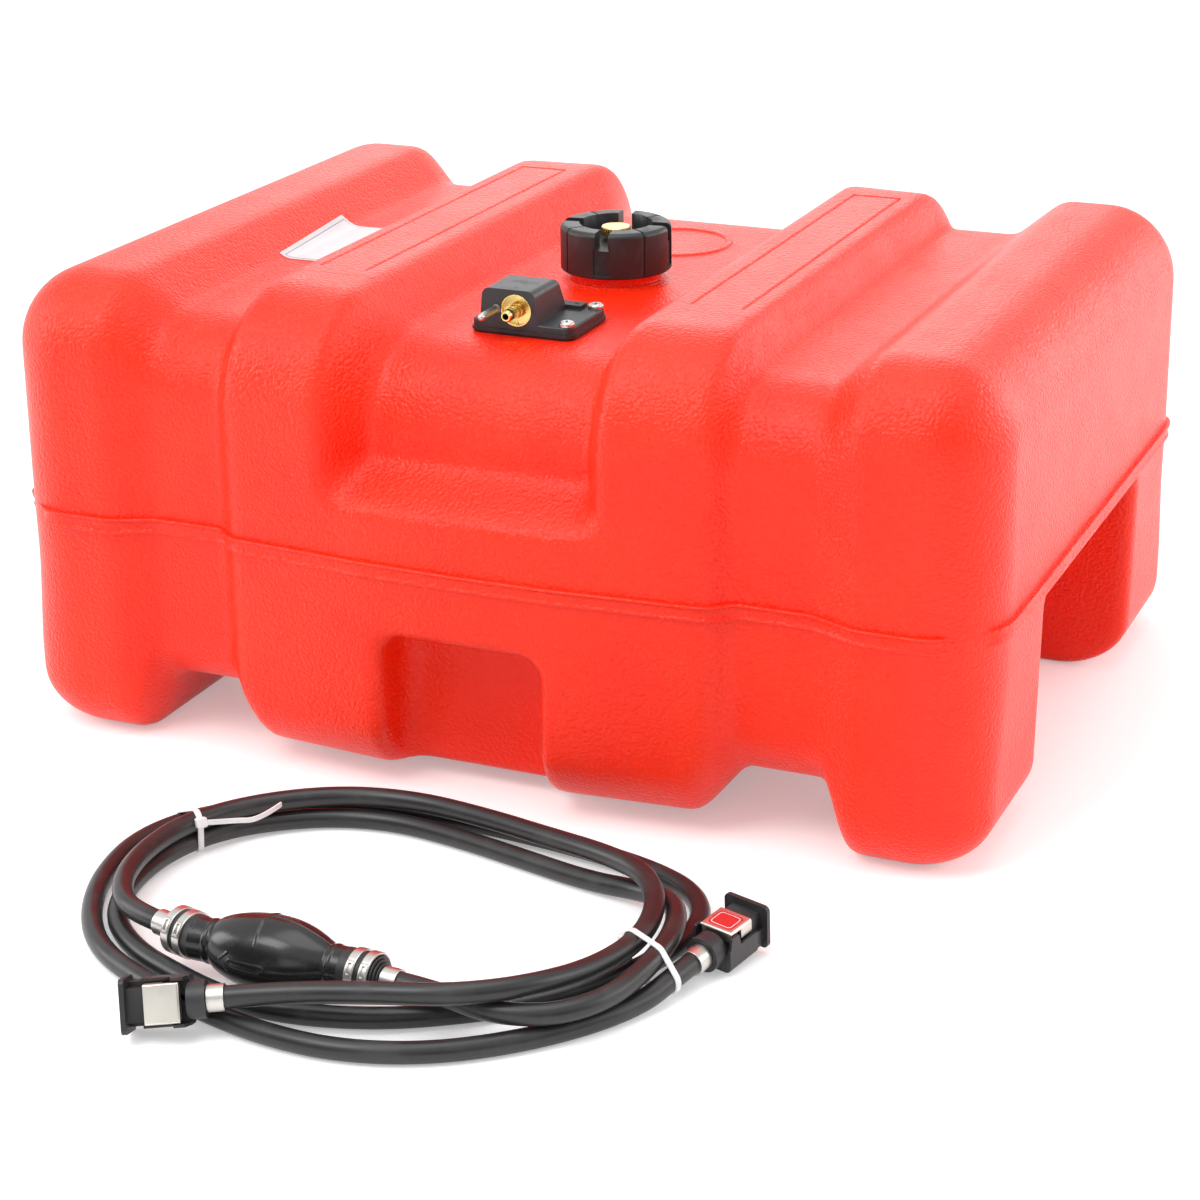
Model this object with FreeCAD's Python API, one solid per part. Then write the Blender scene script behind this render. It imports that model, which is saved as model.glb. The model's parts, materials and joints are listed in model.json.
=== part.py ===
"""Portable outboard fuel tank with its filler cap, pickup fitting and fuel line.

Millimetres, +Z up, +X along the long front side, +Y away from the front.
The origin is the middle of the tank's footprint, on the surface it stands on.
"""
import FreeCAD, Part
import math
import os

Vec = FreeCAD.Vector
UP = Vec(0, 0, 1)

# ---------------------------------------------------------------- tank shell
TANK_LENGTH = 614.0          # over the two end lobes
TANK_WIDTH = 452.0           # end lobes, front to back
TANK_HEIGHT = 287.0          # top of the four ridges
WALL = 4.5
MID_BULGE = 6.0              # the mid part stands this much further out, front and back
CORNER_RADIUS = 45.0
END_LOBE = 101.0             # width of an end lobe along X
STRAP_CHANNEL = 46.0         # floor of a hold-down strap channel
MID_LOBE = 94.0              # mid ridge with its two flanks
STRAP_TOP_DEPTH = 22.5       # strap channel below the ridges
STRAP_SIDE_DEPTH = 12.0      # strap channel behind the end lobes
STRAP_LIFT = 36.0            # underside of a strap channel
CENTRE_DEPTH = 28.0          # floor of the centre channel below the ridges
CHUTE_DEPTH = 26.0           # centre channel's front wall behind the end lobes
LEDGE_TOP = 197.0
LEDGE_BOTTOM = 177.0
MID_FOOT_LIFT = 10.0         # the mid part's underside stays off the floor
RIDGE_FLANK = 27.0           # inner slope of an end ridge, along X
MID_FLANK = 12.0             # outer slope of a mid ridge
CENTRE_FLANK = 25.0          # inner slope of a mid ridge
CHUTE_FLARE = 23.0           # side slope of the chute, along X
END_ROUND = 52.0             # front and back round-over of an end ridge
MID_ROUND = 62.0
STRAP_ROUND = 45.0
CENTRE_ROUND = 52.0
FOOT_ROUND = 32.0
LEG_SIDE_ROUND = 40.0
SMALL_ROUND = 12.0
STRAP_LIFT_ROUND = 8.0
LEG_INNER = 11.0             # legs' inner foot outside the strap channels

SEAM_HEIGHT = 141.0          # middle of the seam band
BAND_HEIGHT = 9.0
BAND_PROUD = 2.0
ARCH_HALF_WIDTH = 106.0      # hand-lift arch between the legs of one end
RECESS_HALF_WIDTH = 50.0     # hand recess in the front and the back
RECESS_HEIGHT = 100.0
RECESS_DEPTH = 34.0
ARCH_LIP = 6.0               # arches start this far outside the strap channels
PANEL_MARGIN = 5.0           # flat panel inset in each mid ridge
PANEL_DEPTH = 1.2
PANEL_FRONT = -146.0
PANEL_BACK = 162.0
BOSS_RING_RADIUS = 36.0      # blank sender boss behind the cap
BOSS_RING_WIDTH = 2.4
BOSS_RING_PROUD = 1.2
BOSS_RING_Y = 98.0

# -------------------------------------------------------- filler neck and cap
NECK_RADIUS = 28.0
NECK_BORE = 23.5
NECK_HEIGHT = 19.0           # above the centre channel's floor
THREAD_PROUD = 0.5
THREAD_RIDGE = 1.8
THREAD_PITCH = 5.0
THREAD_TURNS = 3
PEDESTAL_RADIUS = 30.5
PEDESTAL_HEIGHT = 2.0
CAP_RADIUS = 34.3
CAP_FLOOR_GAP = 5.6          # skirt above the pedestal
LINER_TOP = 1.5              # liner between the gasket and the cap's plate
CAP_SHELL = 2.6
CAP_PLATE = 2.6
CAP_TURN = 8.0               # how far the cross of slots is turned from the X axis
CAP_SLOT = 8.5               # cross slots between the four grips
CAP_WELL_RADIUS = 22.5
CAP_GRIP_HEIGHT = 10.7
CAP_NOTCH_DEPTH = 1.5
CAP_NOTCH_WIDTH = 10.6
CAP_GROOVE = 1.2
CAP_ROUND = 3.4
CAP_FOOT_CHAMFER = 0.8
GASKET_THICKNESS = 2.0
RUNNING_FIT = 0.08
SEAT_GAP = 0.1
PIECE_GAP = 0.3

VENT_KNOB_RADIUS = 9.1
VENT_KNOB_HEIGHT = 5.6
VENT_STEM_RADIUS = 3.0
VENT_COLLAR_RADIUS = 5.2
VENT_BUSH_RADIUS = 6.5
VENT_BUSH_FLANGE = 9.0
VENT_LIFT = 2.6              # knob's underside above the cap's plate
VENT_STEM_OUT = 4.0          # stem below the bush
KNURL_COUNT = 36
KNURL_RADIUS = 0.6
ORING_THICKNESS = 1.2

# ------------------------------------------------------------- pickup fitting
PICKUP_GAP = 7.0             # flange's front edge behind the channel's round-over
FLANGE_HALF_LENGTH = 33.0
FLANGE_HALF_WIDTH = 27.0
FLANGE_THICKNESS = 6.3
FLANGE_RIM = 1.0             # step round the flange's foot
FLANGE_RIM_HEIGHT = 2.0
FLANGE_CORNER = 7.0
FLANGE_CHAMFER = 0.8
PICKUP_GASKET = 1.5
GASKET_INSET = 1.0           # gasket's edge inside the flange's
HOUSING_LEFT = -26.3
HOUSING_RIGHT = 11.4
HOUSING_DRAFT = 2.5          # both sides lean in towards the roof
HOUSING_TOP_DEPTH = 33.0
HOUSING_DEPTH = 41.0
HOUSING_HEIGHT = 27.4        # above the channel floor
HOUSING_ROUND = 5.0
PAD_LENGTH = 8.0             # raised pad on the flange behind the block
PAD_WIDTH = 24.0
PAD_HEIGHT = 2.2
PAD_BESIDE = 9.0             # how far it reaches past the block's right side
PAD_HOLE = 1.1
PAD_HOLE_BESIDE = 4.0
SPIGOT_RADIUS = 15.0
SPIGOT_CLEARANCE = 1.0
SPIGOT_LENGTH = 12.0
SCREW_X = 27.0
SCREW_Y = 20.8
SCREW_HEAD_RADIUS = 4.7
SCREW_HEAD_HEIGHT = 2.8
SCREW_HEAD_ROUND = 1.7
SCREW_RADIUS = 1.9
SCREW_SLOT = 4.6
SCREW_LENGTH = 15.0
SCREW_CLEARANCE = 0.4
SCREW_BOSS_RADIUS = 6.0
SCREW_BOSS_DEPTH = 15.0
SCREW_SLOT_ANGLES = (20, 110)
NIPPLE_X = -2.7              # from the fitting's centre
NIPPLE_HEIGHT = 15.2         # axis above the channel floor
NIPPLE_CUP_RADIUS = 9.5
NIPPLE_CUP_DEPTH = 3.0
NIPPLE_CUP_WALL = 0.9
NIPPLE_CUP_FLOOR = 1.6
NIPPLE_RADIUS = 3.6
NIPPLE_BORE = 1.9
NIPPLE_REACH = 14.0
NIPPLE_SHANK_RADIUS = 5.0
NIPPLE_GROOVE = 0.9          # O-ring groove's depth
NIPPLE_RING = 2.0            # O-ring's length along the spout
NIPPLE_LEAD = 3.0            # tip ahead of the O-ring's groove
NIPPLE_PLAIN = 3.3           # from the groove to the first rib
NIPPLE_RIB = 1.5
NIPPLE_RIB_SPACE = 1.4
NIPPLE_RIBS_PROUD = (0.7, 1.1)
NIPPLE_SHANK = 14.0
PIN_X = -15.1
PIN_RADIUS = 2.3
PIN_NOSE = 3.0               # rounded end of the pin
PIN_REACH = 22.0
PIN_RELIEF = 1.0             # groove where the pin leaves the block
PIN_RELIEF_DEPTH = 0.6
PIN_SHANK = 9.0
NOSE_STEPS = 6
PIN_SHANK_RADIUS = 2.55
TUBE_RADIUS = 5.0
TUBE_BORE = 3.6
TUBE_SOCKET = 8.0
TUBE_END_LIFT = 12.0         # above the tank's inner floor
FILTER_RADIUS = 8.0
FILTER_HEIGHT = 34.0
FILTER_WALL = 1.2
FILTER_BELOW = 6.0           # screen's floor under the tube's end

# ------------------------------------------------------------------ fuel line
HOSE_DIAMETER = 11.4
ARC_SHARE = 0.45             # part of the shorter run that each bend takes
CLAMP_GAP = 0.2
CLAMP_THICKNESS = 1.2
CLAMP_WIDTH = 9.0
BULB_LEFT = Vec(-67.0, -448.7, 20.3)
BULB_LEFT_HEADING = Vec(0.97, -0.243, 0.0)
BULB_RIGHT = Vec(78.0, -458.4, 20.3)
BULB_RIGHT_HEADING = Vec(-0.9977, 0.067, 0.0)
BULB_RADIUS = 20.1
BULB_NECK_RADIUS = 11.4
BULB_WALL = 3.4
BULB_NECK = 9.0
BULB_SWELL = 0.62            # below 1, the swell sets in faster than a sine
BULB_STEPS = 16
BULB_LAP = 3.5               # neck drawn over the fitting's edge, where the two meet at an angle
FITTING_LENGTH = 31.6
FITTING_RADIUS = 11.6
FITTING_BORE = 4.4
FITTING_WAY = 1.8            # bore between the stub and the valve's chamber
FITTING_STEP = 2.0
BARB_RADIUS = 7.4
BAND_RING_WIDTH = 5.0
BAND_RING_START = 13.0       # from the hose's end
BAND_RING_SPACE = 3.0
BAND_RING_THICKNESS = 1.1
VALVE_RADIUS = 6.0
VALVE_TRAVEL = 1.5
VALVE_THICKNESS = 2.0

CONNECTOR_A_TAIL = Vec(5.0, -503.6, 20.4)
CONNECTOR_A_NOSE = Vec(-42.0, -523.8, 16.4)
CONNECTOR_A_LATCH = Vec(0.37, -0.85, 0.38)
CONNECTOR_B_TAIL = Vec(198.0, -371.5, 11.8)
CONNECTOR_B_NOSE = Vec(210.6, -324.6, 16.1)
CONNECTOR_B_LATCH = Vec(0.04, 0.0, 1.0)
COLLAR_RADIUS = 9.6
COLLAR_LENGTH = 8.0
TRAY_LENGTH = 24.0           # open tray that holds the latch
TRAY_HALF = 12.2
TRAY_DEPTH = 11.4
TRAY_ROUND = 3.5
TRAY_RIM = 2.0
EAR_LENGTH = 8.0
EAR_HEIGHT = 8.8
EAR_THICKNESS = 1.6
POST_LENGTH = 8.0            # block under the latch that carries its spring
NOSE_LENGTH = 8.4
NOSE_HALF = 8.3
NOSE_HEIGHT = 8.4
SOCKET_BLOCK_HALF = 11.0
SOCKET_BLOCK_DEPTH = 9.6
NOSE_PLATE_HALF = 13.6
NOSE_PLATE_ABOVE = 12.6
NOSE_PLATE_BELOW = 12.0
NOSE_PLATE_THICKNESS = 2.6
NOSE_PLATE_LIP = 1.0
NOSE_PLATE_ROUND = 3.0
SOCKET_RADIUS = 3.7
SOCKET_DEPTH = 17.0
SOCKET_MOUTH_RADIUS = 5.2
SOCKET_MOUTH = 5.0
SOCKET_DROP = 4.0            # both sockets below the hose's axis
PIN_SOCKET_RADIUS = 2.4
PIN_SOCKET_DEPTH = 24.0
NIPPLE_SIDE = -4.4           # nipple socket beside the hose's axis
WAY_RADIUS = 1.8
LATCH_TRAVEL = 2.5
LATCH_THICKNESS = 1.4
LATCH_TOP = 10.0
LATCH_HALF = 10.0
LATCH_FOLD = 5.5
LATCH_LEG = 7.0
LATCH_LEG_LENGTH = 9.0
LATCH_ROUND = 1.3
SPRING_RADIUS = 2.6
SPRING_WIRE = 0.5
SPRING_TURNS = 2.5
SPRING_POCKET = 3.2
SEAL_THICKNESS = 1.6
SEAL_POCKET_RADIUS = 4.3     # pocket for the seal behind the socket
SEAL_BORE = 2.4
PLUNGER_RADIUS = 2.9
PLUNGER_ROOM = 3.3           # radius of the chamber behind the seal
PLUNGER_THICKNESS = 1.8
PLUNGER_STEM = 1.5
PLUNGER_TRAVEL = 2.0

TIE_WIDTH = 2.6
TIE_THICKNESS = 1.1
TIE_GAP = 0.5
TIE_REACH = 45.0             # strands further from the tie's middle are left out
TIE_HEAD = 5.4
TIE_HEAD_DEPTH = 4.4
TIE_TAIL_SHARE = 0.6         # tail leaves the head at this part of its depth
TIE_SIDES = 36

# Hand-chosen points of the two hoses, from end to end.
HOSE_SHORT = [
    (5, -503.6, 20.4), (32.5, -491.8, 22.74), (74, -485, 28), (115, -476, 30.6), (145, -452, 29.4),
    (163, -414, 23.5), (171, -372, 20.8), (165, -335, 22.2), (147, -309, 24),
    (117, -292.5, 21.4), (78, -280, 18.4), (33, -269, 17.4), (-14, -264, 17.4),
    (-58, -275, 17.8), (-95, -306, 19), (-116, -342, 19.8), (-121, -376, 19),
    (-115, -408, 19), (-101.5, -431.5, 19.8), (-84.5, -444.3, 20.3), (-67, -448.7, 20.3),
]
HOSE_LONG = [
    (78, -458.4, 20.3), (100, -459.88, 20.3), (130, -464, 17.8), (160, -454.5, 17.8),
    (179, -428, 18.4), (185, -390, 19.7), (182, -351, 19.4), (168, -319, 15.4),
    (143, -302, 8.8), (108, -297, 5.8), (66, -287, 5.8), (20, -276.5, 5.8),
    (-26, -271, 5.8), (-68, -283, 5.8), (-104, -316, 7.5), (-121, -354, 7.5),
    (-122, -394, 5.8), (-108, -431, 5.8), (-78, -457, 5.8), (-42, -472, 5.8),
    (-3, -484, 5.8), (34, -483, 5.8), (74, -471, 5.8), (110, -449, 5.8),
    (142, -423, 5.8), (168, -391, 7.7), (181, -353, 7), (183, -317, 5.8),
    (168, -289, 5.8), (138, -273, 5.8), (95, -263, 5.8), (45, -257, 5.8),
    (-5, -255, 5.8), (-55, -261, 5.8), (-98, -281, 5.8), (-131, -314, 7.5),
    (-145, -352, 7.3), (-140, -394, 5.8), (-121, -434.5, 5.8), (-94, -464.5, 5.8),
    (-55, -484, 5.8), (-14, -497, 5.8), (27, -506, 5.8), (68, -506, 5.8),
    (109, -492, 5.8), (144, -466, 5.8), (171, -435, 5.8), (187, -407, 6.6),
    (193.4, -388.6, 10.23), (198, -371.5, 11.8),
]
TIE_LEFT_AT = Vec(-118.0, -333.0, 0.0)
TIE_LEFT_ALONG = Vec(0.64, 0.77, 0.0)
TIE_LEFT_HEAD = 165.0        # the head's angle round the upper hose, in degrees
TIE_LEFT_TAIL = [(-98, -338, 4.0), (-90.4, -333.1, 6.0), (-78.4, -327.4, 2.5), (-77, -305, 0.0)]
TIE_RIGHT_AT = Vec(180.0, -382.0, 0.0)
TIE_RIGHT_ALONG = Vec(0.42, 0.91, 0.0)
TIE_RIGHT_HEAD = -10.0

# ------------------------------------------------------------- derived values
HALF_LENGTH = TANK_LENGTH / 2
END_FRONT = TANK_WIDTH / 2
MID_FRONT = END_FRONT + MID_BULGE
STRAP_FRONT = END_FRONT - STRAP_SIDE_DEPTH
CHUTE_FRONT = END_FRONT - CHUTE_DEPTH
END_INNER = HALF_LENGTH - END_LOBE
STRAP_INNER = END_INNER - STRAP_CHANNEL
CENTRE_HALF = STRAP_INNER - MID_LOBE
STRAP_TOP = TANK_HEIGHT - STRAP_TOP_DEPTH
FLOOR = TANK_HEIGHT - CENTRE_DEPTH
BAND_LOW = SEAM_HEIGHT - BAND_HEIGHT / 2
PICKUP_Y = FLANGE_HALF_WIDTH + PICKUP_GAP + CENTRE_ROUND - CHUTE_FRONT
HOSE_RADIUS = HOSE_DIAMETER / 2


# ------------------------------------------------------------------- helpers
def inset(points, amount):
    """A polygon of (u, v, radius) with every side moved inwards by amount."""
    turn = sum(a[0] * b[1] - b[0] * a[1] for a, b in zip(points, points[1:] + points[:1]))
    side = 1.0 if turn > 0 else -1.0
    moved = []
    for k, (u, v, radius) in enumerate(points):
        before, after = points[k - 1], points[(k + 1) % len(points)]
        d1 = unit2(u - before[0], v - before[1])
        d2 = unit2(after[0] - u, after[1] - v)
        n1 = (-d1[1] * side, d1[0] * side)
        n2 = (-d2[1] * side, d2[0] * side)
        scale = amount / (1 + n1[0] * n2[0] + n1[1] * n2[1])
        convex = (d1[0] * d2[1] - d1[1] * d2[0]) * side > 0
        new_radius = max(radius - amount, 0.0) if convex else max(radius + amount, 0.0)
        if radius == 0:
            new_radius = 0.0
        moved.append((u + scale * (n1[0] + n2[0]), v + scale * (n1[1] + n2[1]), new_radius))
    return moved


def unit2(u, v):
    size = math.hypot(u, v)
    return (u / size, v / size)


def rounded_face(points, place):
    """A flat face from a polygon of (u, v, radius); place turns (u, v) into a point."""
    starts, ends, middles = [], [], []
    for k, (u, v, radius) in enumerate(points):
        corner = Vec(u, v, 0)
        before = Vec(*points[k - 1][:2], 0)
        after = Vec(*points[(k + 1) % len(points)][:2], 0)
        d1 = (before - corner).normalize()
        d2 = (after - corner).normalize()
        half = d1.getAngle(d2) / 2
        if radius < 0.01:
            starts.append(corner)
            ends.append(corner)
            middles.append(None)
            continue
        reach = radius / math.tan(half)
        bisector = (d1 + d2).normalize()
        starts.append(corner + d1 * reach)
        ends.append(corner + d2 * reach)
        middles.append(corner + bisector * (radius / math.sin(half) - radius))
    edges = []
    for k in range(len(points)):
        if middles[k] is not None:
            arc = [place(p.x, p.y) for p in (starts[k], middles[k], ends[k])]
            edges.append(Part.Arc(*arc).toShape())
        a, b = ends[k], starts[(k + 1) % len(points)]
        if (b - a).Length > 1e-6:
            edges.append(Part.LineSegment(place(a.x, a.y), place(b.x, b.y)).toShape())
    return Part.Face(Part.Wire(edges))


def plan_prism(points, low, high):
    return rounded_face(points, lambda x, y: Vec(x, y, low)).extrude(Vec(0, 0, high - low))


def front_prism(points, near, far):
    return rounded_face(points, lambda x, z: Vec(x, near, z)).extrude(Vec(0, far - near, 0))


def side_prism(points, left, right):
    return rounded_face(points, lambda y, z: Vec(left, y, z)).extrude(Vec(right - left, 0, 0))


def mirrored(half):
    """A closed outline from its right half, listed from the bottom to the top."""
    return half + [(-u, v, radius) for u, v, radius in reversed(half)]


def fuse_all(shapes):
    return shapes[0].multiFuse(shapes[1:]) if len(shapes) > 1 else shapes[0]


def ring(outer, inner, low, high, x=0.0, y=0.0):
    base = Vec(x, y, low)
    solid = Part.makeCylinder(outer, high - low, base, UP)
    return solid.cut(Part.makeCylinder(inner, high - low, base, UP))


def rod(radius, start, end):
    line = end - start
    return Part.makeCylinder(radius, line.Length, start, line)


def tube_between(outer, inner, start, end):
    return rod(outer, start, end).cut(rod(inner, start, end))


def revolved(profile, start, axis):
    """A turned solid: profile lists (distance along the axis, radius)."""
    along = Vec(axis).normalize()
    across = along.cross(UP)
    if across.Length < 1e-6:
        across = Vec(1, 0, 0)
    across.normalize()
    points = [start + along * t + across * r for t, r in profile]
    face = Part.Face(Part.makePolygon(points + points[:1]))
    return face.revolve(start, along, 360)


def save(node, shape):
    solid = shape.removeSplitter()
    solid.exportStep("parts/" + node + ".step")
    print("%-22s solids %d volume %.1f" % (node, len(solid.Solids), solid.Volume))
    return solid


# ---------------------------------------------------------------- tank shell
def front_outline():
    """Outline seen from the front: ridges and channels on top, feet below."""
    mid_top = STRAP_INNER - MID_FLANK
    half = [
        (STRAP_INNER - SMALL_ROUND, MID_FOOT_LIFT, 2 * SMALL_ROUND),
        (STRAP_INNER, STRAP_LIFT, STRAP_LIFT_ROUND),
        (END_INNER + ARCH_LIP, STRAP_LIFT, STRAP_LIFT_ROUND),
        (END_INNER + LEG_INNER, 0, SMALL_ROUND),
        (HALF_LENGTH, 0, LEG_SIDE_ROUND),
        (HALF_LENGTH, TANK_HEIGHT, CORNER_RADIUS),
        (END_INNER + RIDGE_FLANK, TANK_HEIGHT, SMALL_ROUND),
        (END_INNER, STRAP_TOP, SMALL_ROUND),
        (STRAP_INNER, STRAP_TOP, SMALL_ROUND / 2),
        (mid_top, TANK_HEIGHT, SMALL_ROUND / 2),
        (CENTRE_HALF + CENTRE_FLANK, TANK_HEIGHT, SMALL_ROUND / 2),
        (CENTRE_HALF, FLOOR, SMALL_ROUND),
    ]
    return mirrored(half)


def plan_outline():
    step = STRAP_INNER
    half = [
        (HALF_LENGTH, -END_FRONT, CORNER_RADIUS),
        (HALF_LENGTH, END_FRONT, CORNER_RADIUS),
        (step + 1, END_FRONT, 0.0),
        (step - 1, MID_FRONT, 0.0),
    ]
    left = [(-x, -y, radius) for x, y, radius in half]
    return half + left


def box_outline(reach, low, high, top_round, bottom_round):
    half = [(reach, low, bottom_round), (reach, high, top_round)]
    return mirrored(half)


def centre_outline():
    half = [
        (MID_FRONT, MID_FOOT_LIFT, FOOT_ROUND),
        (MID_FRONT, LEDGE_BOTTOM, SMALL_ROUND),
        (CHUTE_FRONT, LEDGE_TOP, SMALL_ROUND),
        (CHUTE_FRONT, FLOOR, CENTRE_ROUND),
    ]
    return mirrored(half)


def zones():
    """Side outline, inner and outer X, and whether each end stands above its neighbour."""
    end = box_outline(END_FRONT, 0, TANK_HEIGHT, END_ROUND, FOOT_ROUND)
    strap = box_outline(STRAP_FRONT, STRAP_LIFT, STRAP_TOP, STRAP_ROUND, 2 * SMALL_ROUND)
    mid = box_outline(MID_FRONT, MID_FOOT_LIFT, TANK_HEIGHT, MID_ROUND, FOOT_ROUND)
    found = [(centre_outline(), -CENTRE_HALF, CENTRE_HALF, -1, -1)]
    for side in (1, -1):
        spans = [
            (mid, CENTRE_HALF, STRAP_INNER, 1, 1),
            (strap, STRAP_INNER, END_INNER, -1, -1),
            (end, END_INNER, HALF_LENGTH, 1, 0),
        ]
        for outline, inner, outer, at_inner, at_outer in spans:
            if side > 0:
                found.append((outline, inner, outer, at_inner, at_outer))
            else:
                found.append((outline, -outer, -inner, at_outer, at_inner))
    return found


def tank_form(amount):
    """The tank's outer form with every face moved inwards by amount."""
    slices = []
    for outline, left, right, at_left, at_right in zones():
        low, high = left + at_left * amount, right - at_right * amount
        slices.append(side_prism(inset(outline, amount), low, high))
    form = fuse_all(slices)
    form = form.common(plan_prism(inset(plan_outline(), amount), 0, TANK_HEIGHT))
    form = form.common(front_prism(inset(front_outline(), amount), -MID_FRONT, MID_FRONT))
    return form.cut(fuse_all(hollows(amount)))


def hollows(amount):
    """Arches between the legs, hand recesses and chute flanks, grown by amount."""
    arch = box_outline(ARCH_HALF_WIDTH, -WALL, BAND_LOW - 0.5, SMALL_ROUND, 0.0)
    arch = inset(arch, -amount)
    cuts = [side_prism(arch, END_INNER + ARCH_LIP - amount, HALF_LENGTH + WALL)]
    recess = box_outline(RECESS_HALF_WIDTH, -WALL, RECESS_HEIGHT, SMALL_ROUND, 0.0)
    recess = inset(recess, -amount)
    cuts.append(front_prism(recess, -MID_FRONT - WALL, -MID_FRONT + RECESS_DEPTH + amount))
    rise = MID_FRONT - CHUTE_FRONT
    flank = [
        (CENTRE_HALF - 2, -CHUTE_FRONT, 0.0),
        (CENTRE_HALF - 2, -MID_FRONT - rise, 0.0),
        (CENTRE_HALF + 2 * CHUTE_FLARE, -MID_FRONT - rise, 0.0),
        (CENTRE_HALF, -CHUTE_FRONT, 0.0),
    ]
    ledge = (LEDGE_TOP + LEDGE_BOTTOM) / 2
    cuts.append(plan_prism(inset(flank, -amount), ledge - amount, TANK_HEIGHT + WALL))
    turned = [cuts[0].mirror(Vec(), Vec(1, 0, 0)), cuts[1].mirror(Vec(), Vec(0, 1, 0))]
    turned.append(cuts[2].mirror(Vec(), Vec(1, 0, 0)))
    turned += [c.mirror(Vec(), Vec(0, 1, 0)) for c in (cuts[2], turned[2])]
    return cuts + turned


def band_slab(amount):
    """A slab of the seam's plan outline, moved inwards by amount."""
    boxes = []
    for _, left, right, at_left, at_right in zones():
        reach = STRAP_FRONT if at_left < 0 and left != -CENTRE_HALF else MID_FRONT
        if at_left == 0 or at_right == 0:
            reach = END_FRONT
        low, high = left + at_left * amount, right - at_right * amount
        if at_left == 0:
            low = -HALF_LENGTH + amount
        if at_right == 0:
            high = HALF_LENGTH - amount
        corner = Vec(low, -reach + amount, BAND_LOW)
        boxes.append(Part.makeBox(high - low, 2 * (reach - amount), BAND_HEIGHT, corner))
    outline = plan_prism(inset(plan_outline(), amount), BAND_LOW, BAND_LOW + BAND_HEIGHT)
    return fuse_all(boxes).common(outline)


def screw_places():
    """Three places: the block leaves no room for a screw at the front left."""
    return [(x, PICKUP_Y + y) for x, y in ((SCREW_X, -SCREW_Y), (SCREW_X, SCREW_Y), (-SCREW_X, SCREW_Y))]


def neck():
    top = FLOOR + NECK_HEIGHT
    pieces = [Part.makeCylinder(PEDESTAL_RADIUS, PEDESTAL_HEIGHT + WALL, Vec(0, 0, FLOOR - WALL), UP)]
    pieces.append(Part.makeCylinder(NECK_RADIUS, NECK_HEIGHT, Vec(0, 0, FLOOR), UP))
    for k in range(THREAD_TURNS):
        low = top - THREAD_RIDGE - 1 - k * THREAD_PITCH
        crest = NECK_RADIUS + THREAD_PROUD
        pieces.append(Part.makeCylinder(crest, THREAD_RIDGE, Vec(0, 0, low), UP))
    return fuse_all(pieces)


def tank_shell():
    shell = tank_form(0.0).cut(tank_form(WALL))
    band = band_slab(-BAND_PROUD).cut(band_slab(WALL / 2))
    boss_ring = ring(BOSS_RING_RADIUS, BOSS_RING_RADIUS - BOSS_RING_WIDTH,
                     FLOOR - 1, FLOOR + BOSS_RING_PROUD, 0, BOSS_RING_Y)
    added = [band, boss_ring, neck()]
    for x, y in screw_places():
        low = FLOOR - SCREW_BOSS_DEPTH
        added.append(Part.makeCylinder(SCREW_BOSS_RADIUS, SCREW_BOSS_DEPTH - 1, Vec(x, y, low), UP))
    shell = shell.multiFuse(added)
    bore_low = FLOOR - WALL - 1
    cuts = [Part.makeCylinder(NECK_BORE, NECK_HEIGHT + WALL + 2, Vec(0, 0, bore_low), UP)]
    spigot_hole = SPIGOT_RADIUS + SPIGOT_CLEARANCE
    cuts.append(Part.makeCylinder(spigot_hole, WALL + 2, Vec(0, PICKUP_Y, bore_low), UP))
    for x, y in screw_places():
        low = FLOOR - screw_reach() - 1
        cuts.append(Part.makeCylinder(SCREW_RADIUS + RUNNING_FIT, screw_reach() + 2, Vec(x, y, low), UP))
    panel_left = CENTRE_HALF + CENTRE_FLANK + PANEL_MARGIN
    panel_right = STRAP_INNER - MID_FLANK - PANEL_MARGIN
    for left in (panel_left, -panel_right):
        corner = Vec(left, PANEL_FRONT, TANK_HEIGHT - PANEL_DEPTH)
        panel = (panel_right - panel_left, PANEL_BACK - PANEL_FRONT, 2 * PANEL_DEPTH)
        cuts.append(Part.makeBox(*panel, corner))
    return shell.cut(fuse_all(cuts))


# ---------------------------------------------------------------- filler cap
def neck_rim():
    return FLOOR + NECK_HEIGHT


def cap_base():
    return FLOOR + PEDESTAL_HEIGHT + CAP_FLOOR_GAP


def plate_under():
    return neck_rim() + SEAT_GAP + GASKET_THICKNESS + SEAT_GAP + LINER_TOP


def plate_top():
    return plate_under() + CAP_PLATE


def cap_top():
    return plate_top() + CAP_GRIP_HEIGHT


def level_edges(shape, height):
    """Edges that lie wholly at one height."""
    return [e for e in shape.Edges
            if abs(e.BoundBox.ZMin - height) < 1e-6 and e.BoundBox.ZLength < 1e-6]


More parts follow.
